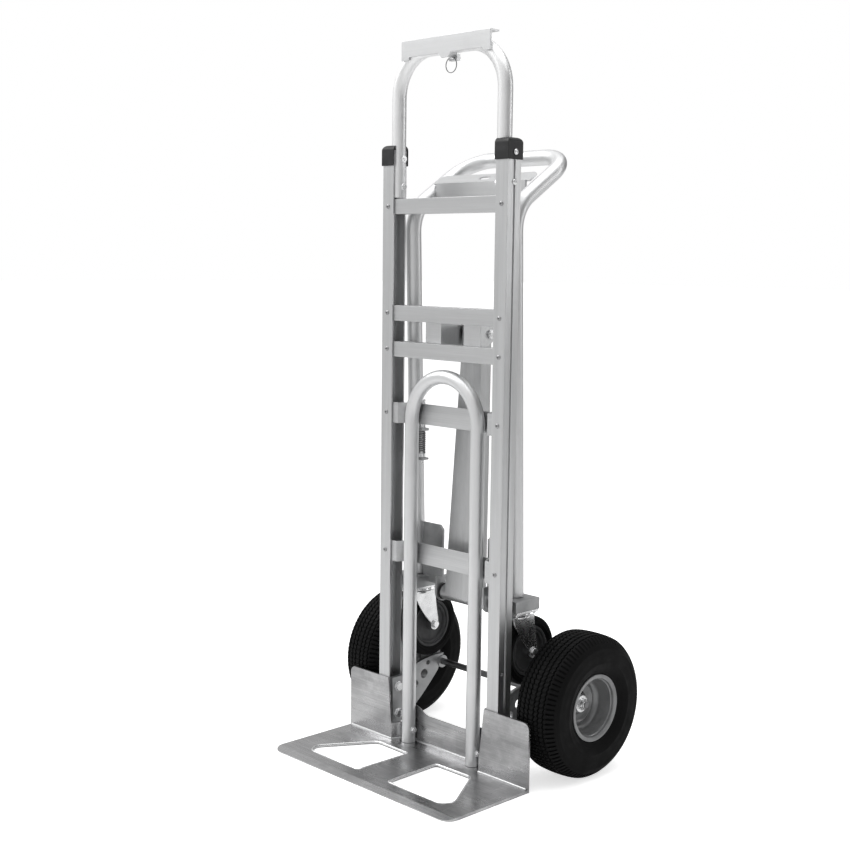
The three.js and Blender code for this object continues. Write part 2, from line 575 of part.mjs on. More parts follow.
// slotted angle plate lying on the sloping sides of the grip, just above the knee
function handleCrossPlate() {
  const { start, length, wall, halfWidth, lip, lipHalf } = CROSS_PLATE;
  const outline = rounded([[-halfWidth, 0, 2], [halfWidth, 0, 2],
    [halfWidth, length, length / 2], [-halfWidth, length, length / 2]]);
  const { halfLength, r } = SLOT;
  const slot = new THREE.Path().absarc(halfLength - r, length / 2, r, -Math.PI / 2, Math.PI / 2, false)
    .absarc(r - halfLength, length / 2, r, Math.PI / 2, 1.5 * Math.PI, false);
  outline.holes.push(slot);
  const slope = (Math.atan2(GRIP.z - HANDLE.kneeZ, GRIP.y - HANDLE.kneeY) * 180) / Math.PI;
  const lift = HANDLE.r + GAP;
  const plate = prismZ(outline, lift, lift + wall, 5).translate([0, start, 0]).rotate([slope, 0, 0])
    .translate([0, HANDLE.kneeY, HANDLE.kneeZ]);
  const angle = (slope * Math.PI) / 180;
  const foldY = HANDLE.kneeY + start * Math.cos(angle) - lift * Math.sin(angle);
  const foldZ = HANDLE.kneeZ + start * Math.sin(angle) + lift * Math.cos(angle);
  const hanging = block([-lipHalf, lipHalf], [foldY - wall, foldY + 0.4], [foldZ - lip, foldZ + wall]);
  return joined(plate, hanging);
}

// plate over a caster, gusset up the leg, and an ear for the lower pivot bolt
function casterMount() {
  const { bottom, top, inner, outer, front, back } = MOUNT;
  const gussetY = [GUSSET.y, GUSSET.y + GUSSET.wall];
  const plate = block([inner, outer], [front, back], [bottom, top]);
  const leg = HANDLE.x - HANDLE.r - 1.5;
  const sheet = polygon([[GUSSET.inner, GUSSET.bottom], [leg, GUSSET.bottom], [leg, GUSSET.top],
    [leg - GUSSET.shelf, GUSSET.top], [GUSSET.inner, GUSSET.top - GUSSET.slope]]);
  const ear = new THREE.Shape().moveTo(LOWER_PIVOT.y - EAR.r, EAR.top)
    .lineTo(LOWER_PIVOT.y - EAR.r, LOWER_PIVOT.z)
    .absarc(LOWER_PIVOT.y, LOWER_PIVOT.z, EAR.r, Math.PI, 2 * Math.PI, false)
    .lineTo(LOWER_PIVOT.y + EAR.r, EAR.top);
  const [earInner, earOuter] = [GUSSET.inner, GUSSET.inner + GUSSET.wall];
  const body = joined(plate, prismY(sheet, ...gussetY), prismX(ear, earInner, earOuter, 6));
  const centre = [0, LOWER_PIVOT.y, LOWER_PIVOT.z];
  return cutBy(body, bar('x', PIVOT_R + GAP, earInner - OVER, earOuter + OVER, centre, 16));
}

function casterTop() {
  const { plateHalfX, plateHalfY, plateBottom, ringR, ringBottom } = CASTER_TOP;
  const { x, y } = CASTER;
  const plate = block([x - plateHalfX, x + plateHalfX], [y - plateHalfY, y + plateHalfY],
    [plateBottom, MOUNT.bottom - GAP]);
  return joined(plate, bar('z', ringR, ringBottom, plateBottom + OVER, [x, y, 0], FACETS.boss));
}

// pressed fork: a round crown and two tapering cheeks down to the axle
function casterFork() {
  const { x, y, trail, axleZ } = CASTER;
  const { crownBottom, wall, inner, headR, tipR, front, back } = FORK;
  const wheelY = y + trail;
  const crownTop = CASTER_TOP.ringBottom - GAP;
  const reach = inner + wall;
  const crown = bar('z', headR, crownBottom, crownTop, [x, y, 0], FACETS.boss);
  const cheek = new THREE.Shape().moveTo(y - front, crownTop).lineTo(wheelY - tipR, axleZ)
    .absarc(wheelY, axleZ, tipR, Math.PI, 2 * Math.PI, false).lineTo(y + back, crownTop);
  const cheeks = [-reach, inner].map((from) => prismX(cheek, x + from, x + from + wall, 6));
  const bridge = block([x - reach, x + reach], [y - front, y + front], [crownBottom, crownTop]);
  const bore = [0, wheelY, axleZ];
  const hole = bar('x', CASTER_AXLE.r + GAP, x - reach - OVER, x + reach + OVER, bore, 12);
  return cutBy(joined(crown, bridge, ...cheeks), hole);
}

function casterAxle() {
  const { x, y, trail, axleZ } = CASTER;
  const { r, headR, head } = CASTER_AXLE;
  const reach = FORK.inner + FORK.wall;
  const centre = [0, y + trail, axleZ];
  const ends = [-1, 1].map((sign) =>
    bar('x', headR, x + sign * (reach + GAP), x + sign * (reach + head), centre, 6));
  return joined(bar('x', r, x - reach - OVER, x + reach + OVER, centre, 12), ...ends);
}

function casterCore() {
  const { hubR, hubHalf, webR, webHalf, rimHalf } = CASTER_CORE;
  const bore = CASTER_AXLE.r + GAP;
  const outer = [[bore, hubHalf], [hubR, hubHalf], [hubR + 1, webHalf + 1], [webR, webHalf],
    [CASTER.coreR, rimHalf]];
  const inner = outer.map(([radius, along]) => [radius, -along]);
  return turnedAboutX([...inner, ...[...outer].reverse()], FACETS.caster);
}

function casterTyre() {
  const { coreR, halfWidth, r } = CASTER;
  const seat = CASTER_CORE.rimHalf;
  return turnedAboutX([
    [coreR + GAP, -seat], [r - 6, -halfWidth], [r - 1, -11], [r, 0], [r - 1, 11], [r - 6, halfWidth],
    [coreR + GAP, seat],
  ], FACETS.caster);
}

function addCaster(name, side) {
  const hub = [side * CASTER.x, CASTER.y + CASTER.trail, CASTER.axleZ];
  place(`${name}_caster_mount`, mirroredTo(side, casterMount()), CAST);
  place(`${name}_caster_top`, mirroredTo(side, casterTop()), ZINC);
  place(`${name}_caster_fork`, mirroredTo(side, casterFork()), ZINC);
  place(`${name}_caster_axle`, mirroredTo(side, casterAxle()), ZINC);
  place(`${name}_caster_core`, casterCore().translate(...hub), GREY_RIM);
  place(`${name}_caster_tyre`, casterTyre().translate(...hub), RUBBER);
}

// ---------------------------------------------------------------- spring plunger
function plungerBracket() {
  const { lower, upper, half, back, above, wall } = PLUNGER_TABS;
  const { x, y, r } = PLUNGER;
  const legSide = -HANDLE.x + HANDLE.r + 2;
  const sheet = block([legSide, legSide + wall], [y - half, y + back], [lower[0], upper[1] + above]);
  const tabs = [lower, upper].map((z) => block([legSide, x + half], [y - half, y + half], z));
  const bore = bar('z', r + GAP, lower[0] - OVER, upper[1] + OVER, [x, y, 0], 12);
  return cutBy(joined(sheet, ...tabs), bore);
}

function plungerPin() {
  const { x, y, r, bottom, top, knobR, knob, collarR } = PLUNGER;
  const centre = [x, y, 0];
  return joined(
    bar('z', r, bottom, top, centre, 12),
    bar('z', knobR, top - knob, top, centre, 16),
    bar('z', collarR, PLUNGER_TABS.lower[1] + GAP, SPRING.bottom - GAP, centre));
}

function plungerSpring() {
  const { inner, outer, bottom, top } = SPRING;
  const centre = [PLUNGER.x, PLUNGER.y, 0];
  const inside = bar('z', inner, bottom - OVER, top + OVER, centre, 12);
  return cutBy(bar('z', outer, bottom, top, centre, 16), inside);
}

// ---------------------------------------------------------------- assembly
for (const [name, side] of SIDES) {
  place(`${name}_rail`, mirroredTo(side, railSolid()), EXTRUDED);
  place(`${name}_rail_cap`, mirroredTo(side, railCap()), BLACK_PLASTIC);
  LOOP_BOLT.heights.forEach((z, i) => {
    place(`${name}_loop_bolt_${i + 1}`, mirroredTo(side, loopBolt(z, 0)), ZINC);
  });
  FOOT_BOLT.heights.forEach((z, i) => {
    place(`${name}_foot_bolt_${i + 1}`, mirroredTo(side, footBolt(z)), ZINC);
  });
  place(`${name}_axle_bracket`, mirroredTo(side, axleBracket()), CAST);
  addWheel(name, side);
  addCaster(name, side);
}
CHANNEL_STRAPS.forEach((heights, i) => place(`cross_strap_${i + 1}`, channelStrap(heights), EXTRUDED));
BOWED_STRAPS.forEach((heights, i) => place(`cross_strap_${i + 4}`, bowedStrap(heights), EXTRUDED));
place('top_loop', topLoop(), POLISHED);
place('top_bracket', topBracket(), EXTRUDED);
place('pin_housing', pinHousing(), CAST);
place('pull_pin', pullPin(), ZINC);
place('pull_ring', pullRing(), ZINC);
place('bow_tube', bowTube(), POLISHED);
place('toe_plate', joined(toeBase(), toeWall()), BRUSHED);
place('axle', axleRod(), ZINC);
addBrace();
place('handle_loop', handleLoop(), POLISHED);
place('handle_cross_plate', handleCrossPlate(), EXTRUDED);
place('plunger_bracket', plungerBracket(), CAST);
place('plunger_pin', plungerPin(), ZINC);
place('plunger_spring', plungerSpring(), ZINC);

export default truck;
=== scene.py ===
"""Looks of the convertible hand truck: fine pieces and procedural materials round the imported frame.

Objects are in metres. Profiles, outlines and the numbers that make them are in millimetres.
X = 0 is the plane of symmetry, +Y points to the back, +Z is up and Z = 0 is the floor.
"""
import json
import math

import bmesh
import bpy
from mathutils import Matrix, Vector


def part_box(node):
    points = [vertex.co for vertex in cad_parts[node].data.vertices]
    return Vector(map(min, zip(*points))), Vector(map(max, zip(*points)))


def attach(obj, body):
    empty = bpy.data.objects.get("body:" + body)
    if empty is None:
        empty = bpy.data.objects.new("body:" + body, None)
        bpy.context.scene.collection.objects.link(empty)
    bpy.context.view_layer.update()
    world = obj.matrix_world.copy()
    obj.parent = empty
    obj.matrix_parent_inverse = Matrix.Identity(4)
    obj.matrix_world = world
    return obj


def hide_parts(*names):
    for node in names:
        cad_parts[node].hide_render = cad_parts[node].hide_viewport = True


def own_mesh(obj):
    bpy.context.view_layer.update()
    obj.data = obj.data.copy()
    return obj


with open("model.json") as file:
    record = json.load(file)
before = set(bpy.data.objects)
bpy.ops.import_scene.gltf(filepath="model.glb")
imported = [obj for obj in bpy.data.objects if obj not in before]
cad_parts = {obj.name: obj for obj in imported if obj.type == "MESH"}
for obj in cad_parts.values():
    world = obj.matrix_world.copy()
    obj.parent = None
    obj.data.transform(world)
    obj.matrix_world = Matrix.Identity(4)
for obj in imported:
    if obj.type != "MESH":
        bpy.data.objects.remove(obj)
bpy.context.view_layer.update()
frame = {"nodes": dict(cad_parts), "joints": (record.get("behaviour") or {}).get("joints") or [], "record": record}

MM = 0.001
SIDES = (("left", -1), ("right", 1))
TURN = 2 * math.pi
X, Y, Z = Vector((1, 0, 0)), Vector((0, 1, 0)), Vector((0, 0, 1))


# ---------------------------------------------------------------- places read from the frame
def centre(node):
    """The middle of the node's box, in metres."""
    low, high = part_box(node)
    return (low + high) / 2


def size(node):
    """The size of the node's box, in metres."""
    low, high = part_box(node)
    return high - low


def box_mm(node):
    """The node's box as its low and high corners in millimetres."""
    low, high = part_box(node)
    return low / MM, high / MM


BODY_OF = {
    node: body for body, nodes in frame["record"]["behaviour"]["bodies"].items() for node in nodes
}
JOINT = {joint["name"]: Vector(joint["pos_m"]) for joint in frame["joints"] if "pos_m" in joint}


# ---------------------------------------------------------------- materials
MIX_FIRST, MIX_SECOND, MIX_RESULT = 6, 7, 2      # the colour sockets of a Mix node, by number


def set_range(node, start, stop, low, high):
    """Fills in a Map Range node."""
    for name, number in (("From Min", start), ("From Max", stop), ("To Min", low), ("To Max", high)):
        node.inputs[name].default_value = number


class Shader:
    """A Principled material, with short calls for the nodes that vary it."""

    def __init__(self, name, color, metallic, roughness, **sockets):
        self.material = bpy.data.materials.new(name)
        self.material.use_nodes = True
        self.tree = self.material.node_tree
        self.bsdf = self.tree.nodes["Principled BSDF"]
        self.color = (*color, 1.0)
        self.bsdf.inputs["Base Color"].default_value = self.color
        self.bsdf.inputs["Metallic"].default_value = metallic
        self.bsdf.inputs["Roughness"].default_value = roughness
        for socket, value in sockets.items():
            self.bsdf.inputs[socket.replace("_", " ")].default_value = value
        self.normal = None

    def node(self, kind, **inputs):
        node = self.tree.nodes.new(kind)
        for name, value in inputs.items():
            socket = node.inputs[name.replace("_", " ")]
            if isinstance(value, bpy.types.NodeSocket):
                self.tree.links.new(value, socket)
            else:
                socket.default_value = value
        return node

    def place(self, stretch=(1, 1, 1), attribute=None):
        """Coordinates in metres, the piece's own or those kept on a bent piece, stretched per axis."""
        if attribute:
            source = self.tree.nodes.new("ShaderNodeAttribute")
            source.attribute_name = attribute
            vector = source.outputs["Vector"]
        else:
            vector = self.tree.nodes.new("ShaderNodeTexCoord").outputs["Object"]
        return self.node("ShaderNodeMapping", Vector=vector, Scale=stretch).outputs["Vector"]

    def noise(self, vector, scale, detail=3.0, roughness=0.5):
        made = self.node("ShaderNodeTexNoise", Vector=vector, Scale=scale, Detail=detail, Roughness=roughness)
        return made.outputs["Fac"]

    def spread(self, value, low, high, start=0.3, stop=0.7):
        """Maps the range from start to stop onto the range from low to high."""
        made = self.node("ShaderNodeMapRange", Value=value)
        set_range(made, start, stop, low, high)
        return made.outputs["Result"]

    def tint(self, factor, color):
        """Mixes the base colour so far with another one."""
        mix = self.tree.nodes.new("ShaderNodeMix")
        mix.data_type = "RGBA"
        self.tree.links.new(factor, mix.inputs["Factor"])
        base = self.bsdf.inputs["Base Color"]
        if base.is_linked:
            self.tree.links.new(base.links[0].from_socket, mix.inputs[MIX_FIRST])
        else:
            mix.inputs[MIX_FIRST].default_value = self.color
        mix.inputs[MIX_SECOND].default_value = (*color, 1.0)
        self.tree.links.new(mix.outputs[MIX_RESULT], base)

    def rough(self, value):
        self.tree.links.new(value, self.bsdf.inputs["Roughness"])

    def bump(self, height, strength, distance):
        """Adds a bump on top of those there already."""
        made = self.node("ShaderNodeBump", Height=height, Strength=strength, Distance=distance)
        if self.normal:
            self.tree.links.new(self.normal, made.inputs["Normal"])
        self.normal = made.outputs["Normal"]
        self.tree.links.new(self.normal, self.bsdf.inputs["Normal"])


FINE = 1500          # streaks per metre across the grain
LONG = 9             # streaks per metre along the grain


def grained_metal(name, color, roughness, grain, depth=0.07, contrast=0.2, attribute=None):
    """Aluminium with drawn or brushed streaks along one axis, soft stains and small dents."""
    shader = Shader(name, color, 1.0, roughness)
    stretch = [LONG if axis == grain else FINE for axis in "xyz"]
    streaks = shader.noise(shader.place(stretch, attribute), 1.0, detail=4.0, roughness=0.65)
    broad = [LONG / 3 if axis == grain else FINE / 14 for axis in "xyz"]
    bands = shader.noise(shader.place(broad, attribute), 1.0, detail=2.0)
    stains = shader.noise(shader.place(), 14.0, detail=5.0, roughness=0.6)
    dull = [tone * (1 - contrast) for tone in color]
    shader.tint(shader.spread(streaks, 0.0, 0.8), dull)
    shader.tint(shader.spread(bands, 0.0, 0.8), dull)
    shader.tint(shader.spread(stains, 0.0, 0.5, 0.5, 0.75), [tone * 0.82 for tone in color])
    shader.rough(shader.spread(streaks, roughness * 0.8, roughness * 1.35))
    shader.bump(streaks, depth, 0.1 * MM)
    shader.bump(shader.noise(shader.place(), 60.0), 0.06, 0.3 * MM)
    return shader.material


def toe_metal():
    """Rolled plate, ground across, with dark smears, paler patches and fine scratches."""
    shader = Shader("toe_plate_metal", (0.64, 0.64, 0.645), 1.0, 0.28)
    streaks = shader.noise(shader.place((LONG, FINE / 2, FINE / 2)), 1.0, detail=5.0, roughness=0.7)
    smears = shader.noise(shader.place((3.5, 16, 16)), 1.0, detail=6.0, roughness=0.62)
    clouds = shader.noise(shader.place(), 22.0, detail=6.0, roughness=0.65)
    scratches = shader.noise(shader.place((700, 22, 300)), 1.0, detail=2.0)
    shader.tint(shader.spread(streaks, 0.0, 0.9), (0.37, 0.37, 0.375))
    shader.tint(shader.spread(smears, 0.0, 0.75, 0.42, 0.66), (0.24, 0.24, 0.245))
    shader.tint(shader.spread(clouds, 0.0, 0.5, 0.5, 0.7), (0.66, 0.66, 0.665))
    shader.tint(shader.spread(scratches, 0.0, 0.6, 0.66, 0.72), (0.75, 0.75, 0.755))
    shader.rough(shader.spread(smears, 0.18, 0.4))
    shader.bump(streaks, 0.08, 0.15 * MM)
    shader.bump(clouds, 0.1, 0.4 * MM)
    return shader.material


def cast_metal():
    """Sand-cast aluminium: a gritty skin with slow swirls of darker grey."""
    shader = Shader("cast_aluminium", (0.5, 0.505, 0.51), 1.0, 0.44)
    grit = shader.noise(shader.place(), 900.0, detail=4.0, roughness=0.7)
    swirl = shader.noise(shader.place(), 40.0, detail=5.0)
    shader.tint(shader.spread(swirl, 0.0, 0.7), (0.33, 0.335, 0.34))
    shader.rough(shader.spread(grit, 0.36, 0.58))
    shader.bump(grit, 0.25, 0.25 * MM)
    return shader.material


def zinc_plate(name="zinc_steel", color=(0.86, 0.865, 0.87), roughness=0.24):
    """Plated steel with a faint spangle and a little dulling in patches."""
    shader = Shader(name, color, 1.0, roughness)
    cells = shader.node("ShaderNodeTexVoronoi", Vector=shader.place(), Scale=700.0).outputs["Distance"]
    patches = shader.noise(shader.place(), 60.0, detail=4.0)
    shader.tint(shader.spread(patches, 0.0, 0.5), [tone * 0.85 for tone in color])
    shader.rough(shader.spread(patches, roughness * 0.85, roughness * 1.3))
    shader.bump(cells, 0.02, 0.05 * MM)
    return shader.material


def moulded_plastic():
    """Black plastic with a fine moulded grain, paler where it is worn."""
    shader = Shader("black_plastic", (0.012, 0.012, 0.013), 0.0, 0.42, Specular_IOR_Level=0.4)
    grain = shader.noise(shader.place(), 1500.0, detail=2.0)
    wear = shader.noise(shader.place(), 55.0, detail=5.0)
    shader.tint(shader.spread(wear, 0.0, 0.5, 0.5, 0.72), (0.035, 0.035, 0.037))
    shader.rough(shader.spread(wear, 0.36, 0.55))
    shader.bump(grain, 0.2, 0.12 * MM)
    return shader.material


def tyre_rubber():
    """Black rubber, slightly greyed in patches, with a fine moulded skin."""
    shader = Shader("tyre_rubber", (0.0028, 0.0028, 0.003), 0.0, 0.6, Specular_IOR_Level=0.12)
    dust = shader.noise(shader.place(), 38.0, detail=6.0, roughness=0.65)
    skin = shader.noise(shader.place(), 1300.0, detail=3.0)
    shader.tint(shader.spread(dust, 0.0, 0.6, 0.45, 0.75), (0.006, 0.006, 0.006))
    shader.rough(shader.spread(dust, 0.5, 0.74))
    shader.bump(skin, 0.22, 0.15 * MM)
    return shader.material


def rim_paint():
    """Glossy grey paint with a little orange peel and grime."""
    shader = Shader("grey_rim_paint", (0.23, 0.232, 0.236), 0.35, 0.3, Coat_Weight=0.5, Coat_Roughness=0.15)
    peel = shader.noise(shader.place(), 420.0, detail=2.0)
    grime = shader.noise(shader.place(), 48.0, detail=5.0)
    shader.tint(shader.spread(grime, 0.0, 0.5, 0.5, 0.75), (0.13, 0.13, 0.13))
    shader.rough(shader.spread(grime, 0.28, 0.45))
    shader.bump(peel, 0.12, 0.2 * MM)
    return shader.material


def core_plastic():
    """Dark grey plastic of the caster wheels, with flow marks."""
    shader = Shader("grey_core_plastic", (0.075, 0.076, 0.078), 0.0, 0.45, Specular_IOR_Level=0.3)
    flow = shader.noise(shader.place((60, 60, 60)), 1.0, detail=5.0, roughness=0.6)
    skin = shader.noise(shader.place(), 1100.0)
    shader.tint(shader.spread(flow, 0.0, 0.6), (0.035, 0.0355, 0.037))
    shader.rough(shader.spread(flow, 0.38, 0.55))
    shader.bump(skin, 0.12, 0.1 * MM)
    return shader.material


ALUMINIUM = (0.69, 0.695, 0.7)
BRIGHT = (0.8, 0.805, 0.81)
# Paler tone for the top loop, which is the same tube as the others: painted light, the top of the truck drawn as
# more strongly lit.
LIT_PALE = (0.93, 0.932, 0.935)
MATERIALS = {
    "rail": grained_metal("rail_metal", ALUMINIUM, 0.36, "z"),
    "strap": grained_metal("strap_metal", (0.66, 0.665, 0.67), 0.4, "x"),
    "bracket": grained_metal("bracket_metal", (0.72, 0.725, 0.73), 0.36, "x", contrast=0.1),
    "tube": grained_metal("tube_metal", BRIGHT, 0.4, "z", depth=0.03, contrast=0.1, attribute="straight"),
    # Paler, less streaked copy of the tube metal for the top loop: painted light on the top of the truck.
    "loop": grained_metal("loop_metal", LIT_PALE, 0.42, "z", depth=0.03, contrast=0.06, attribute="straight"),
    "brace": grained_metal("brace_metal", (0.64, 0.645, 0.65), 0.37, "z", contrast=0.2),
    "toe": toe_metal(),
    "cast": cast_metal(),
    "zinc": zinc_plate(),
    "screw": zinc_plate("screw_steel", (0.38, 0.38, 0.385), 0.34),
    "dark": zinc_plate("dark_steel", (0.2, 0.2, 0.205), 0.3),
    "plastic": moulded_plastic(),
    "rubber": tyre_rubber(),
    "rim": rim_paint(),
    "core": core_plastic(),
}


# ---------------------------------------------------------------- pieces and meshes
SHARP = math.radians(32)         # edges sharper than this are creased and broken
WELD = 0.002 * MM                # points nearer than this are one point
FLAT = math.radians(0.5)         # faces that meet at less than this are one face


def finish_piece(name, mesh, body, look, node=None, bevel=0.0):
    """Puts a mesh in the scene, on its body, in its material, with its sharp edges broken by a bevel."""
    mesh.polygons.foreach_set("use_smooth", [True] * len(mesh.polygons))
    mesh.set_sharp_from_angle(angle=SHARP)
    mesh.materials.clear()
    mesh.materials.append(MATERIALS[look])
    piece = bpy.data.objects.new(name, mesh)
    bpy.context.scene.collection.objects.link(piece)
    if bevel:
        edge = piece.modifiers.new("edge", "BEVEL")
        edge.width = bevel
        edge.segments = 2
        edge.limit_method = "ANGLE"
        edge.angle_limit = SHARP
        edge.harden_normals = True
    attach(piece, body)
    if node:
        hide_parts(node)
    return piece


def mesh_from(name, vertices, faces):
    """A mesh from its points in metres and its faces, with the faces turned outwards."""
    mesh = bpy.data.meshes.new(name)
    mesh.from_pydata([tuple(v) for v in vertices], [], faces)
    work = bmesh.new()
    work.from_mesh(mesh)
    bmesh.ops.recalc_face_normals(work, faces=work.faces)
    work.to_mesh(mesh)
    work.free()
    return mesh


def grid_faces(rows, columns, closed=True):
    """Faces between rows of points. Each row closes on itself, and the last row on the first if `closed`."""
    faces = []
    for i in range(rows if closed else rows - 1):
        row, following = i * columns, ((i + 1) % rows) * columns
        for k in range(columns):
            n = (k + 1) % columns
            faces.append((row + k, row + n, following + n, following + k))
    return faces


def refined(node, look, bevel):
    """The CAD node's own shape with flat faces made whole and edges broken."""
    mesh = frame["nodes"][node].data.copy()
    work = bmesh.new()
    work.from_mesh(mesh)
    bmesh.ops.remove_doubles(work, verts=work.verts, dist=WELD)
    bmesh.ops.dissolve_limit(work, angle_limit=FLAT, verts=work.verts, edges=work.edges)
    work.to_mesh(mesh)
    work.free()
    return finish_piece(f"{node}_fine", mesh, BODY_OF[node], look, node, bevel)


# ---------------------------------------------------------------- round pieces
def spun(name, profile, place, axis=X, segments=64, flats=None):
    """Turns a closed profile of (radius, along) in millimetres about `axis` through `place`.

    `flats` is the width across flats: no point of the profile stands outside that hexagon.
    """
    turn = axis.to_track_quat("Z", "Y").to_matrix()
    vertices = []
    for i in range(segments):
        angle = TURN * i / segments
        limit = math.inf
        if flats:
            limit = flats / 2 / math.cos((angle % (TURN / 6)) - TURN / 12)
        for radius, along in profile:
            reach = min(radius, limit)
            local = Vector((reach * math.cos(angle), reach * math.sin(angle), along)) * MM
            vertices.append(place + turn @ local)
    return mesh_from(name, vertices, grid_faces(segments, len(profile)))


def joined(name, meshes):
    """One mesh from several, which are used up."""
    work = bmesh.new()
    for mesh in meshes:
        work.from_mesh(mesh)
        bpy.data.meshes.remove(mesh)
    whole = bpy.data.meshes.new(name)
    work.to_mesh(whole)
    work.free()
    return whole


CORE = 0.02          # radius of the pinhole that keeps a solid turned piece one closed loop


def rod(radius, start, end, chamfer=0.5):
    """Profile of a round bar with both ends chamfered."""
    return [(CORE, start), (radius - chamfer, start), (radius, start + chamfer), (radius, end - chamfer),
            (radius - chamfer, end), (CORE, end)]


def washer(inner, outer, start, thickness, edge=0.3):
    """Profile of a washer or bushing with its outer edges chamfered."""
    end = start + thickness
    return [(inner, start), (outer - edge, start), (outer, start + edge), (outer, end - edge),
            (outer - edge, end), (inner, end)]


def hex_head(flats, start, height, bore=CORE):
    """A hexagon head or nut whose top corners are chamfered, rising from `start` by `height`."""
    corner = flats / 2 / math.cos(TURN / 12)
    lead = (corner - flats / 2 + 0.3) * 0.6
    step = math.copysign(1, height)
    return [(bore, start), (corner, start), (corner, start + height - step * lead),
            (flats / 2 - 0.2, start + height), (bore, start + height)]


def button_head(radius, start, height):
    """A low dome with a round socket, facing along the axis."""
    step = math.copysign(1, height)
    socket = radius * 0.42
    band = step * 0.6
    angles = [TURN / 4 * k / 5 for k in range(4)]
    rise = [(radius * math.cos(a), start + band + (height - band) * math.sin(a)) for a in angles]
    depth = start + height * 0.35
    return [(CORE, start), (radius, start), *rise, (socket + 0.2, start + height),
            (socket, start + height * 0.9), (socket, depth), (CORE, depth)]


# ---------------------------------------------------------------- tubes
def bent_line(corners, bends, steps=18):
    """Points along a polyline in millimetres whose inner corners are replaced by arcs."""
    points = [Vector(corners[0])]
    for before, corner, after, radius in zip(corners, corners[1:], corners[2:], bends):
        before, corner, after = Vector(before), Vector(corner), Vector(after)
        arriving = (corner - before).normalized()
        leaving = (after - corner).normalized()
        turn = arriving.angle(leaving)
        start = corner - arriving * radius * math.tan(turn / 2)
        inward = (leaving - arriving * leaving.dot(arriving)).normalized()
        for k in range(steps + 1):
            angle = turn * k / steps
            ahead, aside = math.sin(angle), 1 - math.cos(angle)
            points.append(start + arriving * radius * ahead + inward * radius * aside)
    points.append(Vector(corners[-1]))
    return points


TUBE_CHAMFER = 0.6


def tube(name, node, look, points, radius, wall, sides=36):
    """A hollow tube along points in millimetres, keeping its unbent coordinates for the grain."""
    start = points[0] + (points[1] - points[0]).normalized() * TUBE_CHAMFER
    end = points[-1] + (points[-2] - points[-1]).normalized() * TUBE_CHAMFER
    line = [points[0], start, *points[1:-1], end, points[-1]]
    last = len(line) - 1
    tangents = [(line[min(i + 1, last)] - line[max(i - 1, 0)]).normalized() for i in range(last + 1)]
    across = tangents[0].orthogonal().normalized()
    rings, length = [], 0.0
    for i, (point, tangent) in enumerate(zip(line, tangents)):
        across = (across - tangent * across.dot(tangent)).normalized()
        other = tangent.cross(across)
        if i:
            length += (point - line[i - 1]).length
        inset = TUBE_CHAMFER if i in (0, last) else 0.0
        rings.append((point, across.copy(), other, length, inset))
    vertices, straight = [], []
    outer = [(ring, radius - ring[4]) for ring in rings]
    inner = [(ring, radius - wall) for ring in reversed(rings)]
    for (point, side, other, length, _), reach in outer + inner:
        for k in range(sides):
            angle = TURN * k / sides
            c, s = reach * math.cos(angle), reach * math.sin(angle)
            vertices.append((point + side * c + other * s) * MM)
            straight.append(Vector((c, s, length)) * MM)
    mesh = mesh_from(name, vertices, grid_faces(len(outer) + len(inner), sides))
    grain = mesh.attributes.new("straight", "FLOAT_VECTOR", "POINT")
    grain.data.foreach_set("vector", [value for point in straight for value in point])
    return finish_piece(name, mesh, BODY_OF[node], look, node)


def symmetric(half):
    """A run of (x, y, z) corners from the left end to the plane of symmetry, and back down the right."""
    return half + [(-x, y, z) for x, y, z in reversed(half)]


TUBE_WALL = 2.0
TOP_LOOP_BEND = 80
HANDLE_RADIUS = 14
HANDLE_WALL = 2.2
HANDLE_FOOT = (-124.6, 71.2, 311)
HANDLE_KNEE = (-124.6, 49, 985)
HANDLE_GRIP = (-124.6, 195, 1080)
HANDLE_BENDS = (70, 60, 60, 70)


def add_arch(name, node, look, bend, steps):
    """An upright arch of tube that fills the node's box. Without a bend radius its top is a half circle."""
    low, high = box_mm(node)
    radius = (high.y - low.y) / 2
    x, y, top = high.x - radius, (low.y + high.y) / 2, high.z - radius
    corners = symmetric([(-x, y, low.z), (-x, y, top)])
    bend = bend or x - 0.01
    tube(name, node, look, bent_line(corners, (bend, bend), steps), radius, TUBE_WALL)


def add_tubes():
    """The top loop, the bow in front, and the handle loop with its D-shaped grip."""
    add_arch("top_loop_tube", "top_loop", "loop", TOP_LOOP_BEND, 24)
    add_arch("bow_tube_round", "bow_tube", "tube", None, 30)
    line = bent_line(symmetric([HANDLE_FOOT, HANDLE_KNEE, HANDLE_GRIP]), HANDLE_BENDS, 20)
    tube("handle_loop_tube", "handle_loop", "tube", line, HANDLE_RADIUS, HANDLE_WALL)


# ---------------------------------------------------------------- wheels
TREAD = {"radius": 127.0, "teeth": 90, "groove": 3.4, "floor": 3.0, "zigzag": 2.2, "lug": 3.6}
GROOVES = (-25.0, -14.5, -5.0, 5.0, 14.5, 25.0)      # middles of the grooves round the tread
RIBS = (-20, -9.7, 0, 9.7, 20)                       # middles of the ribs between them
# places across each shoulder, with the depth of its slots there as a share of the lug's height
SHOULDER = ((29.5, 0.0), (30.2, 1.0), (34.0, 1.0), (38.0, 1.0), (41.0, 0.9), (41.7, 0.0))
RIB_SLOT = 0.45                     # depth of the cuts across the ribs, as a share of the shoulder's
TOOTH = (0.0, 0.1, 0.45, 0.55)      # places along one tooth of the saw-tooth edge, as shares of it
# one tyre wall as (radius, distance from the middle), from the bead out to the tread
TYRE_WALL = (
    (51.3, 24), (51.3, 33.5), (54, 35.3), (57.5, 36.4), (60, 37.4), (61.2, 38.6), (62.4, 38.6), (63.5, 38.9),
    (67, 41.6), (72, 44.6), (78, 46.4), (80, 47.3), (81.5, 47.3), (83, 46.9), (90, 47.5), (97, 47.3),
    (103, 46.3), (105, 46.6), (106.5, 46.3), (110, 44.4),
)


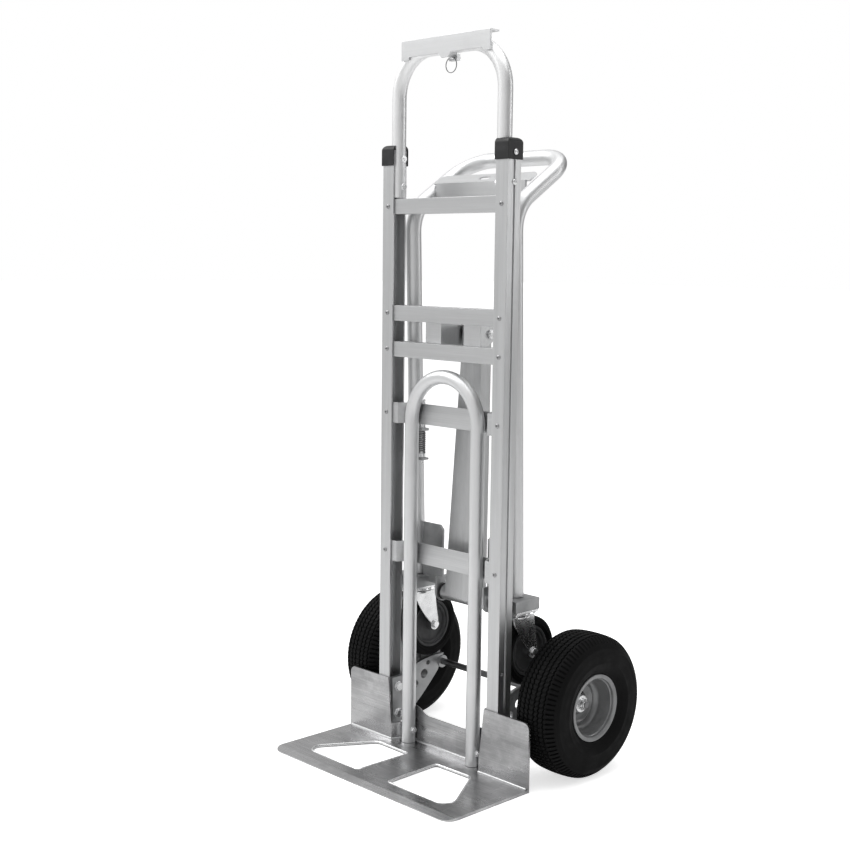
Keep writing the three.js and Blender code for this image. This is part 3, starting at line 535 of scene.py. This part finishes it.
CROWN_HALF = 27      # half width of the tread's nearly flat middle
CROWN_DROP = 1.5     # how much the radius falls over it
SHOULDER_WIDTH = 15
SHOULDER_DROP = 9.5


def crown(across):
    """Radius of the rounded tread at a distance from the tyre's middle."""
    shoulder = max(0.0, (abs(across) - CROWN_HALF) / SHOULDER_WIDTH)
    fall = CROWN_DROP * (across / CROWN_HALF) ** 2
    return TREAD["radius"] - fall - SHOULDER_DROP * shoulder ** 1.7


def tread_columns():
    """(across, depth, wander, slot) for each line of points round the tread, from left to right.

    `wander` is how far the line sways along its saw-tooth edge, and `slot` the share of the lug cut from it.
    """
    columns = []
    half, floor = TREAD["groove"] / 2, TREAD["floor"]
    for middle in GROOVES:
        wander = TREAD["zigzag"] * (1 if middle > 0 else -1)
        for across, depth in ((-half, 0), (-half + 0.7, floor), (half - 0.7, floor), (half, 0)):
            columns.append((middle + across, depth, wander, 0.0 if depth else RIB_SLOT))
    for across, slot in SHOULDER:
        columns.append((across, 0, 0.0, slot))
        columns.append((-across, 0, 0.0, slot))
    columns += [(across, 0, 0.0, RIB_SLOT) for across in RIBS]
    return sorted(columns)


def wheel_tyre(name, hub):
    """Pneumatic tyre: smooth ringed walls, and a crown cut by saw-tooth grooves and shoulder slots."""
    teeth, steps = TREAD["teeth"], len(TOOTH)
    columns = tread_columns()
    vertices = []
    rows = teeth * steps
    for i in range(rows):
        share = TOOTH[i % steps]
        angle = TURN * (i // steps + share) / teeth
        tooth = 2 * share - 1 if share > 0.4 else 1 - 5 * share
        slotted = 1.0 if 0.05 < share < 0.4 else 0.0
        ring = [(radius, -across) for radius, across in TYRE_WALL]
        for across, depth, wander, slot in columns:
            place = across + wander * tooth
            ring.append((crown(place) - depth - slot * slotted * TREAD["lug"], place))
        ring += [(radius, across) for radius, across in reversed(TYRE_WALL)]
        for radius, across in ring:
            vertices.append(hub + Vector((across, radius * math.sin(angle), radius * math.cos(angle))) * MM)
    piece = f"{name}_tyre_tread"
    mesh = mesh_from(piece, vertices, grid_faces(rows, len(ring)))
    finish_piece(piece, mesh, f"{name}_wheel", "rubber", f"{name}_tyre")


def mirrored_profile(half):
    """A closed profile from its points on the positive side, in order from the bore outwards."""
    return half + [(radius, -along) for radius, along in reversed(half)]


# the rim's section as (radius, along), out of the inner hub and round the dish to the outer hub
RIM = (
    (6.3, -54), (15, -54), (18, -52), (18, -8), (20, -6.5), (30, -6), (40, -7.5), (44, -12), (46, -18),
    (46, -30), (48, -34), (53, -36.2), (57.5, -36.6), (59, -37.5), (59.4, -38.6), (58.6, -39.2), (56, -38.6),
    (52, -37.6), (51, -35.5), (51, -33), (50.8, -24), (46.8, -16), (46.6, 16), (50.8, 24), (51, 33),
    (51, 35.5), (52, 37.6), (56, 38.8), (58.6, 39.2), (59.4, 38.6), (59, 37), (57, 35.6), (52.5, 34.6),
    (49.3, 32), (48.4, 27), (47.8, 12), (46, 6), (42.5, 2.5), (39, 1.6), (36.5, 3.4), (33.5, 3.6), (31, 1.6),
    (26, 0.4), (21.5, -0.6), (18.6, 0.6), (18, 3.0), (17.4, 5.2), (15.6, 6), (12.4, 6), (12, 4.8), (6.3, 4.8),
)
SEAL = ((6.6, 4.9), (11.8, 4.9), (11.8, 5.5), (10.4, 5.8), (8.0, 5.3), (6.6, 5.5))
AXLE_NUT_DOME = ((6.1, 14.2), (8.2, 14.2), (7.9, 15.6), (6.6, 17.1), (6.1, 17.1))


def add_wheel(name, side):
    """Tyre, dished rim, bearing seal, valve and axle nut of one wheel."""
    hub = centre(f"{name}_tyre")
    outward = X * side
    wheel_tyre(name, hub)
    mesh = spun(f"{name}_rim_dish", RIM, hub, outward, 96)
    finish_piece(f"{name}_rim_dish", mesh, f"{name}_wheel", "rim", f"{name}_rim", 0.4 * MM)
    mesh = spun(f"{name}_bearing_seal", SEAL, hub, outward, 48)
    finish_piece(f"{name}_bearing_seal", mesh, f"{name}_wheel", "zinc")
    add_valve(name, hub, side)
    nut = joined(f"{name}_axle_nut_hex", [
        spun("washer", washer(6.4, 15, 6.3, 1.8), hub, outward, 48),
        spun("nut", hex_head(17.5, 8.2, 6.2, bore=6.2), hub, outward, 48, flats=17.5),
        spun("dome", AXLE_NUT_DOME, hub, outward, 40),
    ])
    finish_piece(f"{name}_axle_nut_hex", nut, "main_frame", "zinc", f"{name}_axle_nut", 0.3 * MM)


VALVE_RADIUS = 41    # from the wheel's axis to the valve's foot


def add_valve(name, hub, side):
    """Short rubber valve stem with its cap, standing out of the dish beside the well."""
    foot = hub + Vector((side * 10, 0, 0)) * MM + Vector((0, -0.6, 0.8)) * VALVE_RADIUS * MM
    lean = Vector((side, 0.18, -0.24)).normalized()
    stem = [(CORE, -6), (4.2, -6), (4.2, -2), (3.2, 0), (2.9, 11), (CORE, 11)]
    cap = [(CORE, 11), (3.1, 11.2), (3.1, 17.5), (2.5, 18.4), (CORE, 18.4)]
    parts = [spun("stem", stem, foot, lean, 20), spun("cap", cap, foot, lean, 20)]
    mesh = joined(f"{name}_valve", parts)
    finish_piece(f"{name}_valve", mesh, f"{name}_wheel", "plastic")


def add_axle():
    """The solid rod through both wheels."""
    place = centre("axle")
    half = size("axle").x / 2 / MM
    mesh = spun("axle_rod", rod(6, -half, half, 1.0), place, X, 40)
    finish_piece("axle_rod", mesh, "main_frame", "dark", "axle")


# ---------------------------------------------------------------- casters
def outline_plate(outline, start, end):
    """A plate from an outline of (y, z) in millimetres, from `start` to `end` along X."""
    vertices = [Vector((x, y, z)) * MM for x in (start, end) for y, z in outline]
    count = len(outline)
    faces = [tuple(range(count)), tuple(range(2 * count - 1, count - 1, -1))]
    faces += [(k, (k + 1) % count, (k + 1) % count + count, k + count) for k in range(count)]
    return mesh_from("plate", vertices, faces)


def curve_between(start, control, end, steps=8):
    """Points on the quadratic curve from start to end, the first left out."""
    made = []
    for k in range(1, steps + 1):
        t = k / steps
        made.append(tuple((1 - t) ** 2 * a + 2 * t * (1 - t) * b + t * t * c
                          for a, b, c in zip(start, control, end)))
    return made


BOSS = 11                           # radius of the fork's cheeks round the axle
CHEEK = (18.6, 21.9)                # inner and outer face of each cheek, from the caster's middle


def caster_fork(name, axle, pivot, top):
    """Pressed fork: a round crown, and two cheeks that sweep in to the axle boss."""
    front, back = (pivot.y - 27, top), (pivot.y + 27, top)
    outline = [front]
    outline += curve_between(front, (pivot.y - 16, top - 34), (axle.y - BOSS + 1, axle.z + 4))
    for k in range(1, 9):
        angle = math.pi + 0.35 + (math.pi - 0.7) * k / 9
        outline.append((axle.y + BOSS * math.cos(angle), axle.z + BOSS * math.sin(angle)))
    outline += curve_between((axle.y + BOSS - 1, axle.z + 4), (pivot.y + 30, top - 36), back)
    x = pivot.x
    cheeks = [outline_plate(outline, x + s * CHEEK[0], x + s * CHEEK[1]) for s in (-1, 1)]
    crown_disc = [(CORE, top - 4.4), (25.5, top - 4.4), (27, top - 3), (27, top - 0.6),
                  (26.2, top - 0.1), (CORE, top - 0.1)]
    crown_mesh = spun("crown", crown_disc, Vector((x, pivot.y, 0)) * MM, Z, 48)
    web = outline_plate([(pivot.y - 24, top - 4), (pivot.y + 22, top - 4), (pivot.y + 22, top - 0.4),
                         (pivot.y - 24, top - 0.4)], x - 21.8, x + 21.8)
    mesh = joined(f"{name}_caster_yoke", [*cheeks, crown_mesh, web])
    finish_piece(f"{name}_caster_yoke", mesh, f"{name}_caster_fork", "zinc", f"{name}_caster_fork", 0.7 * MM)


CASTER_TYRE = [
    (45.4, 14), (50, 15.2), (51, 15.9), (52.2, 15.2), (56, 15.9), (59.5, 15.4), (61.4, 13), (62.1, 9.5),
    (61.6, 8.9), (61.6, 8.2), (62.3, 7.6), (62.5, 3.0), (61.8, 2.4), (61.8, 1.6), (62.5, 1.0),
]
CASTER_CORE = [
    (4.3, 17), (9.5, 17), (11, 16), (11.6, 13), (12.4, 9), (16, 7.4), (30, 7), (33.5, 7.6), (34.6, 10.4),
    (37, 11.8), (38, 11.8), (38.6, 10.6), (40, 10.6), (40.8, 13.2), (43.6, 14), (45, 13.6),
]


def add_caster(name):
    """Wheel, fork, axle bolt, swivel plate and mount of one caster."""
    axle = centre(f"{name}_caster_core") / MM
    swivel = centre(f"{name}_caster_top") / MM
    fork_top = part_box(f"{name}_caster_fork")[1].z / MM
    body = f"{name}_caster_wheel"
    place = axle * MM
    mesh = spun(f"{name}_caster_tread", mirrored_profile(CASTER_TYRE), place, X, 96)
    finish_piece(f"{name}_caster_tread", mesh, body, "rubber", f"{name}_caster_tyre")
    mesh = spun(f"{name}_caster_hub", mirrored_profile(CASTER_CORE), place, X, 96)
    finish_piece(f"{name}_caster_hub", mesh, body, "core", f"{name}_caster_core", 0.3 * MM)
    caster_fork(name, axle, Vector((swivel.x, swivel.y, 0)), fork_top)
    bolt = joined(f"{name}_caster_bolt", [
        spun("shank", rod(3.9, -23, 25.5, 0.6), place, X, 32),
        spun("washer", washer(4.3, 8.5, 22.2, 1.3), place, X, 32),
        spun("head", hex_head(12.5, -22.3, -4.4), place, X, 48, flats=12.5),
        spun("nut", hex_head(12.5, 23.6, 2.9), place, X, 48, flats=12.5),
    ])
    finish_piece(f"{name}_caster_bolt", bolt, f"{name}_caster_fork", "zinc", f"{name}_caster_axle", 0.2 * MM)
    refined_top(name, swivel)
    refined(f"{name}_caster_mount", "cast", 1.0 * MM)


def refined_top(name, swivel):
    """Swivel plate with its ball race and the four bolts that hold it to the mount."""
    low, high = box_mm(f"{name}_caster_top")
    place = Vector((swivel.x, swivel.y, 0)) * MM
    plate_bottom = high.z - 4
    plate = outline_plate([(low.y, plate_bottom), (high.y, plate_bottom), (high.y, high.z), (low.y, high.z)],
                          low.x, high.x)
    race = [(CORE, low.z), (23, low.z), (26.5, low.z + 0.8), (28, low.z + 2.6), (27.2, low.z + 4.6),
            (24.5, plate_bottom - 0.4), (25.5, plate_bottom + 0.4), (CORE, plate_bottom + 0.4)]
    mesh = joined(f"{name}_swivel_plate", [plate, spun("race", race, place, Z, 64)])
    finish_piece(f"{name}_swivel_plate", mesh, "handle_frame", "zinc", f"{name}_caster_top", 0.5 * MM)
    reach = Vector(((high.x - low.x) / 2 - 6.5, (high.y - low.y) / 2 - 5.5))
    corners = [(sx, sy) for sx in (-1, 1) for sy in (-1, 1)]
    for k, (sx, sy) in enumerate(corners, 1):
        spot = Vector((swivel.x + sx * reach.x, swivel.y + sy * reach.y, 0)) * MM
        nut = joined(f"{name}_plate_bolt_{k}", [
            spun("head", hex_head(7.6, plate_bottom, -2.2), spot, Z, 24, flats=7.6),
            spun("stud", rod(2.2, plate_bottom - 4.5, plate_bottom, 0.3), spot, Z, 16),
        ])
        finish_piece(f"{name}_plate_bolt_{k}", nut, "handle_frame", "zinc")


# ---------------------------------------------------------------- bolts, pins and small parts
def ends(node):
    """How far the node's inner and outer ends stand out from the plane of symmetry, in millimetres."""
    low, high = box_mm(node)
    return sorted((abs(low.x), abs(high.x)))


def on_axis(node):
    """The node's middle, moved into the plane of symmetry."""
    place = centre(node)
    return Vector((0, place.y, place.z))


def add_frame_bolts(name, side):
    """The bolts of the top loop, with their nuts inside, and the bolts at the foot of the rail."""
    outward = X * side
    for k in (1, 2):
        node = f"{name}_loop_bolt_{k}"
        spot = on_axis(node)
        inner, outer = ends(node)
        parts = joined(f"{node}_set", [
            spun("shank", rod(2.9, inner, outer - 1.5, 0.4), spot, outward, 24),
            spun("head", button_head(5, outer - 3, 3), spot, outward, 40),
            spun("nut", hex_head(11, inner + 4.2, -3.4), spot, outward, 48, flats=11),
        ])
        finish_piece(f"{node}_set", parts, "main_frame", "zinc", node, 0.15 * MM)
        node = f"{name}_foot_bolt_{k}"
        spot = on_axis(node)
        inner, outer = ends(node)
        parts = joined(f"{node}_set", [
            spun("shank", rod(4, inner + 1, outer, 0.5), spot, outward, 32),
            spun("washer", washer(4.2, 9.4, inner + 4.8, 1.3), spot, outward, 40),
            spun("head", hex_head(15, inner + 4.9, -4.9), spot, outward, 48, flats=15),
        ])
        finish_piece(f"{node}_set", parts, "main_frame", "zinc", node, 0.2 * MM)


STRAPS = 5
STRAP_SCREW_X = 139 * MM


def add_strap_screws():
    """One low screw through each end of each strap, on the rails' front faces."""
    for k in range(1, STRAPS + 1):
        height = centre(f"cross_strap_{k}").z
        for name, side in SIDES:
            spot = Vector((side * STRAP_SCREW_X, 0, height))
            mesh = spun("screw", button_head(4.3, -0.2, 2.2), spot, -Y, 32)
            finish_piece(f"{name}_strap_screw_{k}", mesh, "main_frame", "screw")


def add_pivots():
    """The two pivot bolts of the brace, each with a bushing at both ends."""
    for level, place in (("upper", JOINT["brace_fold"]), ("lower", JOINT["handle_fold"])):
        node = f"{level}_pivot_bolt"
        half = size(node).x / 2 / MM
        body = BODY_OF[node]
        parts = joined(f"{node}_set", [
            spun("shank", rod(5.9, 0.5 - half, half - 0.5, 1.0), place, X, 40),
            spun("head", hex_head(15.6, half - 5.6, 4.4), place, X, 48, flats=15.6),
            spun("nut", hex_head(15.6, 5.6 - half, -4.4), place, X, 48, flats=15.6),
        ])
        finish_piece(f"{node}_set", parts, body, "zinc", node, 0.3 * MM)
        for name, side in SIDES:
            ring = f"{name}_{level}_bushing"
            inner, outer = ends(ring)
            low, high = box_mm(ring)
            reach = (high.z - low.z) / 2
            profile = washer(6.4, reach, inner, outer - inner, 0.5)
            mesh = spun(f"{ring}_ring", profile, place, X * side, 48)
            finish_piece(f"{ring}_ring", mesh, "brace", "plastic", ring)


def add_pull_pin():
    """The pin with a waist at its ring's hole and a pointed tail."""
    low, high = box_mm("pull_pin")
    place = Vector((0, 0, centre("pull_pin").z))
    eye = JOINT["ring_swing"].y / MM
    profile = [(CORE, low.y), (2.9, low.y), (3.5, low.y + 0.8), (3.5, eye - 1.6), (2.9, eye - 1.2),
               (2.9, eye + 1.2), (3.5, eye + 1.6), (3.5, high.y - 2.5), (1.9, high.y), (CORE, high.y)]
    mesh = spun("pull_pin_turned", profile, place, Y, 40)
    finish_piece("pull_pin_turned", mesh, "pull_pin", "zinc", "pull_pin")


RING_RADIUS = 13 * MM
RING_WIRE = 0.62 * MM


def add_split_ring():
    """Two flat turns of spring wire, as a key ring is wound."""
    radius, wire = RING_RADIUS, RING_WIRE
    turns, steps = 2, 96
    middle = JOINT["ring_swing"] - Z * radius
    points = []
    for k in range(steps * turns + 1):
        angle = TURN * k / steps + 0.7
        drift = (k / (steps * turns) - 0.5) * 2 * wire * 0.95
        points.append(middle + Vector((radius * math.sin(angle), drift, radius * math.cos(angle))))
    mesh = wire_mesh("pull_ring_wire", points, wire, 10)
    finish_piece("pull_ring_wire", mesh, "pull_ring", "dark", "pull_ring")


def wire_mesh(name, points, radius, sides):
    """A round wire along points in metres, closed at both ends."""
    vertices = []
    across = (points[1] - points[0]).orthogonal().normalized()
    last = len(points) - 1
    for i, point in enumerate(points):
        tangent = (points[min(i + 1, last)] - points[max(i - 1, 0)]).normalized()
        across = (across - tangent * across.dot(tangent)).normalized()
        other = tangent.cross(across)
        for k in range(sides):
            angle = TURN * k / sides
            vertices.append(point + (across * math.cos(angle) + other * math.sin(angle)) * radius)
    faces = grid_faces(len(points), sides, closed=False)
    faces.append(tuple(range(sides)))
    faces.append(tuple(range(last * sides + sides - 1, last * sides - 1, -1)))
    return mesh_from(name, vertices, faces)


COIL = {"wire": 1.15, "turns": 10, "steps": 28}


def add_plunger():
    """The plunger's bracket, its turned rod, and its coil spring, which is squashed by the lift."""
    refined("plunger_bracket", "cast", 0.6 * MM)
    low, high = box_mm("plunger_pin")
    place = Vector((centre("plunger_pin").x, centre("plunger_pin").y, 0))
    spring_low, spring_high = box_mm("plunger_spring")
    collar = spring_low.z - 0.3
    profile = [(CORE, low.z), (2.2, low.z), (3.5, low.z + 2), (3.5, collar - 7), (7, collar - 7),
               (7, collar), (3.5, collar), (3.5, high.z - 11), (5.2, high.z - 10), (6, high.z - 9),
               (6, high.z - 7), (5.3, high.z - 6), (5.3, high.z - 5), (6, high.z - 4), (6, high.z - 1),
               (5, high.z), (CORE, high.z)]
    mesh = spun("plunger_rod", profile, place, Z, 36)
    finish_piece("plunger_rod", mesh, "plunger", "zinc", "plunger_pin")
    wire, turns, steps = COIL["wire"], COIL["turns"], COIL["steps"]
    radius = (spring_high.x - spring_low.x) / 2 - wire
    free = spring_high.z - spring_low.z
    points = []
    for k in range(turns * steps + 1):
        rise = spring_low.z + wire + (free - 2 * wire) * k / (turns * steps)
        angle = TURN * k / steps
        points.append(place + Vector((radius * math.cos(angle), radius * math.sin(angle), rise)) * MM)
    mesh = wire_mesh("plunger_coil", points, wire * MM, 10)
    coil = finish_piece("plunger_coil", mesh, "handle_frame", "dark", "plunger_spring")
    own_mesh(coil)


# ---------------------------------------------------------------- toe plate, in millimetres
TOE_BASE = 5         # thickness of the base
TOE_WALL = 4         # thickness of the wall and the wings
TOE_STEP = 29        # how far the wings stand in front of the wall
WALL_END = 100       # where the wall ends, from the plane of symmetry
WING_START = 113     # where the wing starts
TOE_OPENING = ((35, -32, 8), (121, -30, 12), (181, -130, 10), (168, -152, 10), (38, -152, 8))
LIP = 2.3            # radius of the rolled lip round each opening
WELD_BEAD = 2.3      # radius of the weld bead


def toe_lip(side):
    """The closed line of an opening's upper edge, from its (x, y, rounding) corners."""
    corners = [(Vector((side * x, y)), r) for x, y, r in TOE_OPENING]
    line = []
    for i, (corner, r) in enumerate(corners):
        before, after = corners[i - 1][0], corners[(i + 1) % len(corners)][0]
        start = corner + (before - corner).normalized() * r
        end = corner + (after - corner).normalized() * r
        line += curve_between(start, corner, end)
    return [Vector((x, y, TOE_BASE - LIP * 0.35)) * MM for x, y in line]


def closed_bead(name, line, radius, sides=10):
    """A round bead along a closed level line."""
    vertices = []
    count = len(line)
    for i, point in enumerate(line):
        tangent = (line[(i + 1) % count] - line[i - 1]).normalized()
        across = tangent.cross(Z)
        for k in range(sides):
            angle = TURN * k / sides
            vertices.append(point + (across * math.cos(angle) + Z * math.sin(angle)) * radius)
    return mesh_from(name, vertices, grid_faces(count, sides))


def add_toe_beads():
    """The rolled lip of each opening, and the weld along the foot of the wings and the wall."""
    for name, side in SIDES:
        mesh = closed_bead(f"{name}_toe_lip", toe_lip(side), LIP * MM)
        # The lips take the paler, glossier zinc finish rather than the plate's own metal, which paints a bright
        # highlight round each opening.
        finish_piece(f"{name}_toe_lip", mesh, "main_frame", "zinc")
    high = box_mm("toe_plate")[1]
    wall = high.y - TOE_WALL
    wing = wall - TOE_STEP
    half = [(WALL_END - 2, wall), (WALL_END, wall), (WING_START, wing), (high.x - 4, wing)]
    corners = [(-x, y) for x, y in reversed(half)] + half
    points = [Vector((x, y, TOE_BASE + 0.4)) * MM for x, y in corners]
    mesh = wire_mesh("toe_weld", points, WELD_BEAD * MM, 12)
    finish_piece("toe_weld", mesh, "main_frame", "bracket")


BOW_BOLT_HEIGHT = 30 * MM


def add_bow_bolts():
    """A bolt across each foot of the bow tube, with its nut on the right."""
    tube_r = size("bow_tube").y / 2 / MM
    reach = size("bow_tube").x / 2 - tube_r * MM
    for name, side in SIDES:
        spot = Vector((side * reach, centre("bow_tube").y, BOW_BOLT_HEIGHT))
        parts = joined(f"{name}_bow_bolt", [
            spun("shank", rod(2.9, -tube_r - 1, tube_r + 5, 0.4), spot, X, 24),
            spun("head", button_head(5.2, tube_r - 0.5, 2.6), spot, -X, 32),
            spun("washer", washer(3, 6.6, tube_r - 0.6, 1.1), spot, X, 32),
            spun("nut", hex_head(10, tube_r + 0.5, 3.6), spot, X, 48, flats=10),
        ])
        finish_piece(f"{name}_bow_bolt", parts, "main_frame", "zinc", None, 0.15 * MM)


# ---------------------------------------------------------------- the truck
# look: (nodes, width of the broken edge in millimetres)
FLAT_PIECES = {
    "rail": (("left_rail", "right_rail"), 0.5),
    "plastic": (("left_rail_cap", "right_rail_cap"), 0.9),
    "strap": ([f"cross_strap_{k}" for k in range(1, STRAPS + 1)], 0.45),
    "bracket": (("top_bracket", "handle_cross_plate", "left_pivot_bracket", "right_pivot_bracket",
                 "pin_housing"), 0.5),
    "cast": (("left_axle_bracket", "right_axle_bracket"), 0.9),
    "brace": (("brace",), 0.7),
    "toe": (("toe_plate",), 0.8),
}


def build_truck():
    """Every visible piece of the part."""
    for look, (nodes, bevel) in FLAT_PIECES.items():
        for node in nodes:
            refined(node, look, bevel * MM)
    add_tubes()
    add_axle()
    for name, side in SIDES:
        add_wheel(name, side)
        add_caster(name)
        add_frame_bolts(name, side)
    add_strap_screws()
    add_pivots()
    add_pull_pin()
    add_split_ring()
    add_plunger()
    add_toe_beads()
    add_bow_bolts()


# ---------------------------------------------------------------- studio
CAMERA_PLACE = (1.7138, -1.6933, 0.8975)
CAMERA_TURN = (0.802, -0.12, 0.012)      # yaw, pitch and roll, in radians
CAMERA_LENS = 58.29


def add_camera():
    """The camera at the photograph's viewing angle: low, in front and to the right."""
    yaw, pitch, roll = CAMERA_TURN
    data = bpy.data.cameras.new("camera")
    data.sensor_width = 36
    data.lens = CAMERA_LENS
    camera = bpy.data.objects.new("camera", data)
    bpy.context.scene.collection.objects.link(camera)
    level = math.cos(pitch)
    forward = Vector((-math.sin(yaw) * level, math.cos(yaw) * level, math.sin(pitch)))
    right = Vector((math.cos(yaw), math.sin(yaw), 0))
    up = right.cross(forward)
    across = right * math.cos(roll) + up * math.sin(roll)
    upward = up * math.cos(roll) - right * math.sin(roll)
    axes = Matrix((across, upward, -forward)).transposed().to_4x4()
    camera.matrix_world = Matrix.Translation(CAMERA_PLACE) @ axes
    bpy.context.scene.camera = camera


FLOOR_HALF = 40.0    # the floor reaches this far each way, in metres
FLOOR_GLOW = 0.66    # lifts the floor to the white of the room where the camera sees it


def add_floor():
    """A wide white floor that glows a little to the camera, so that it has no horizon."""
    h = FLOOR_HALF
    mesh = mesh_from("floor", [(-h, -h, 0), (h, -h, 0), (h, h, 0), (-h, h, 0)], [(0, 1, 2, 3)])
    floor = bpy.data.objects.new("floor", mesh)
    bpy.context.scene.collection.objects.link(floor)
    shader = Shader("floor_paint", (0.93, 0.93, 0.93), 0.0, 0.85, Emission_Color=(1, 1, 1, 1))
    seen = shader.tree.nodes.new("ShaderNodeLightPath").outputs["Is Camera Ray"]
    glow = shader.spread(seen, 0.03, FLOOR_GLOW, 0.0, 1.0)
    shader.tree.links.new(glow, shader.bsdf.inputs["Emission Strength"])
    mottle = shader.noise(shader.place(), 3.0)
    shader.rough(shader.spread(mottle, 0.8, 0.9))
    mesh.materials.append(shader.material)


# name, place, width and height of the light's face, power
LIGHTS = (
    ("key", (-2.1, -1.3, 2.9), (1.6, 1.8), 34),
    ("top", (0.2, 0.2, 3.0), (2.6, 2.6), 30),
    ("rim", (1.6, 1.9, 1.6), (0.5, 1.8), 8),
)
LIT_POINT = Vector((0, 0, 0.5))


def add_light(name, place, extent, power):
    """A rectangular light that faces the middle of the truck."""
    data = bpy.data.lights.new(name, "AREA")
    data.shape = "RECTANGLE"
    data.size, data.size_y = extent
    data.energy = power
    light = bpy.data.objects.new(name, data)
    light.location = place
    light.rotation_euler = (LIT_POINT - Vector(place)).to_track_quat("-Z", "Y").to_euler()
    bpy.context.scene.collection.objects.link(light)


ROOM_BRIGHT_SIDE = (-0.55, -0.6, 0.58)
ROOM_LIGHT = (0.05, 0.8)      # strength on the dim side and on the bright side


def add_world():
    """Soft room, bright above and to the front left, dim behind and to the right; white to the camera."""
    world = bpy.data.worlds.new("studio")
    world.use_nodes = True
    tree = world.node_tree
    tree.nodes.clear()
    new = tree.nodes.new
    direction = new("ShaderNodeTexCoord").outputs["Generated"]
    bright = new("ShaderNodeVectorMath")
    bright.operation = "DOT_PRODUCT"
    bright.inputs[1].default_value = ROOM_BRIGHT_SIDE
    ramp = new("ShaderNodeMapRange")
    ramp.interpolation_type = "SMOOTHSTEP"
    set_range(ramp, -0.8, 0.9, *ROOM_LIGHT)
    room = new("ShaderNodeBackground")
    paper = new("ShaderNodeBackground")
    paper.inputs["Strength"].default_value = 1.0
    path = new("ShaderNodeLightPath")
    mix = new("ShaderNodeMixShader")
    out = new("ShaderNodeOutputWorld")
    for start, end in (
        (direction, bright.inputs[0]), (bright.outputs["Value"], ramp.inputs["Value"]),
        (ramp.outputs["Result"], room.inputs["Strength"]), (path.outputs["Is Camera Ray"], mix.inputs["Fac"]),
        (room.outputs["Background"], mix.inputs[1]), (paper.outputs["Background"], mix.inputs[2]),
        (mix.outputs["Shader"], out.inputs["Surface"]),
    ):
        tree.links.new(start, end)
    room.inputs["Color"].default_value = (1, 1, 1, 1)
    paper.inputs["Color"].default_value = (1, 1, 1, 1)
    bpy.context.scene.world = world


def build_studio():
    """Camera, floor, room and lights, which belong to the picture and not to the part."""
    add_camera()
    add_floor()
    add_world()
    for light in LIGHTS:
        add_light(*light)
    bpy.context.scene.view_settings.view_transform = "Standard"


build_truck()
build_studio()
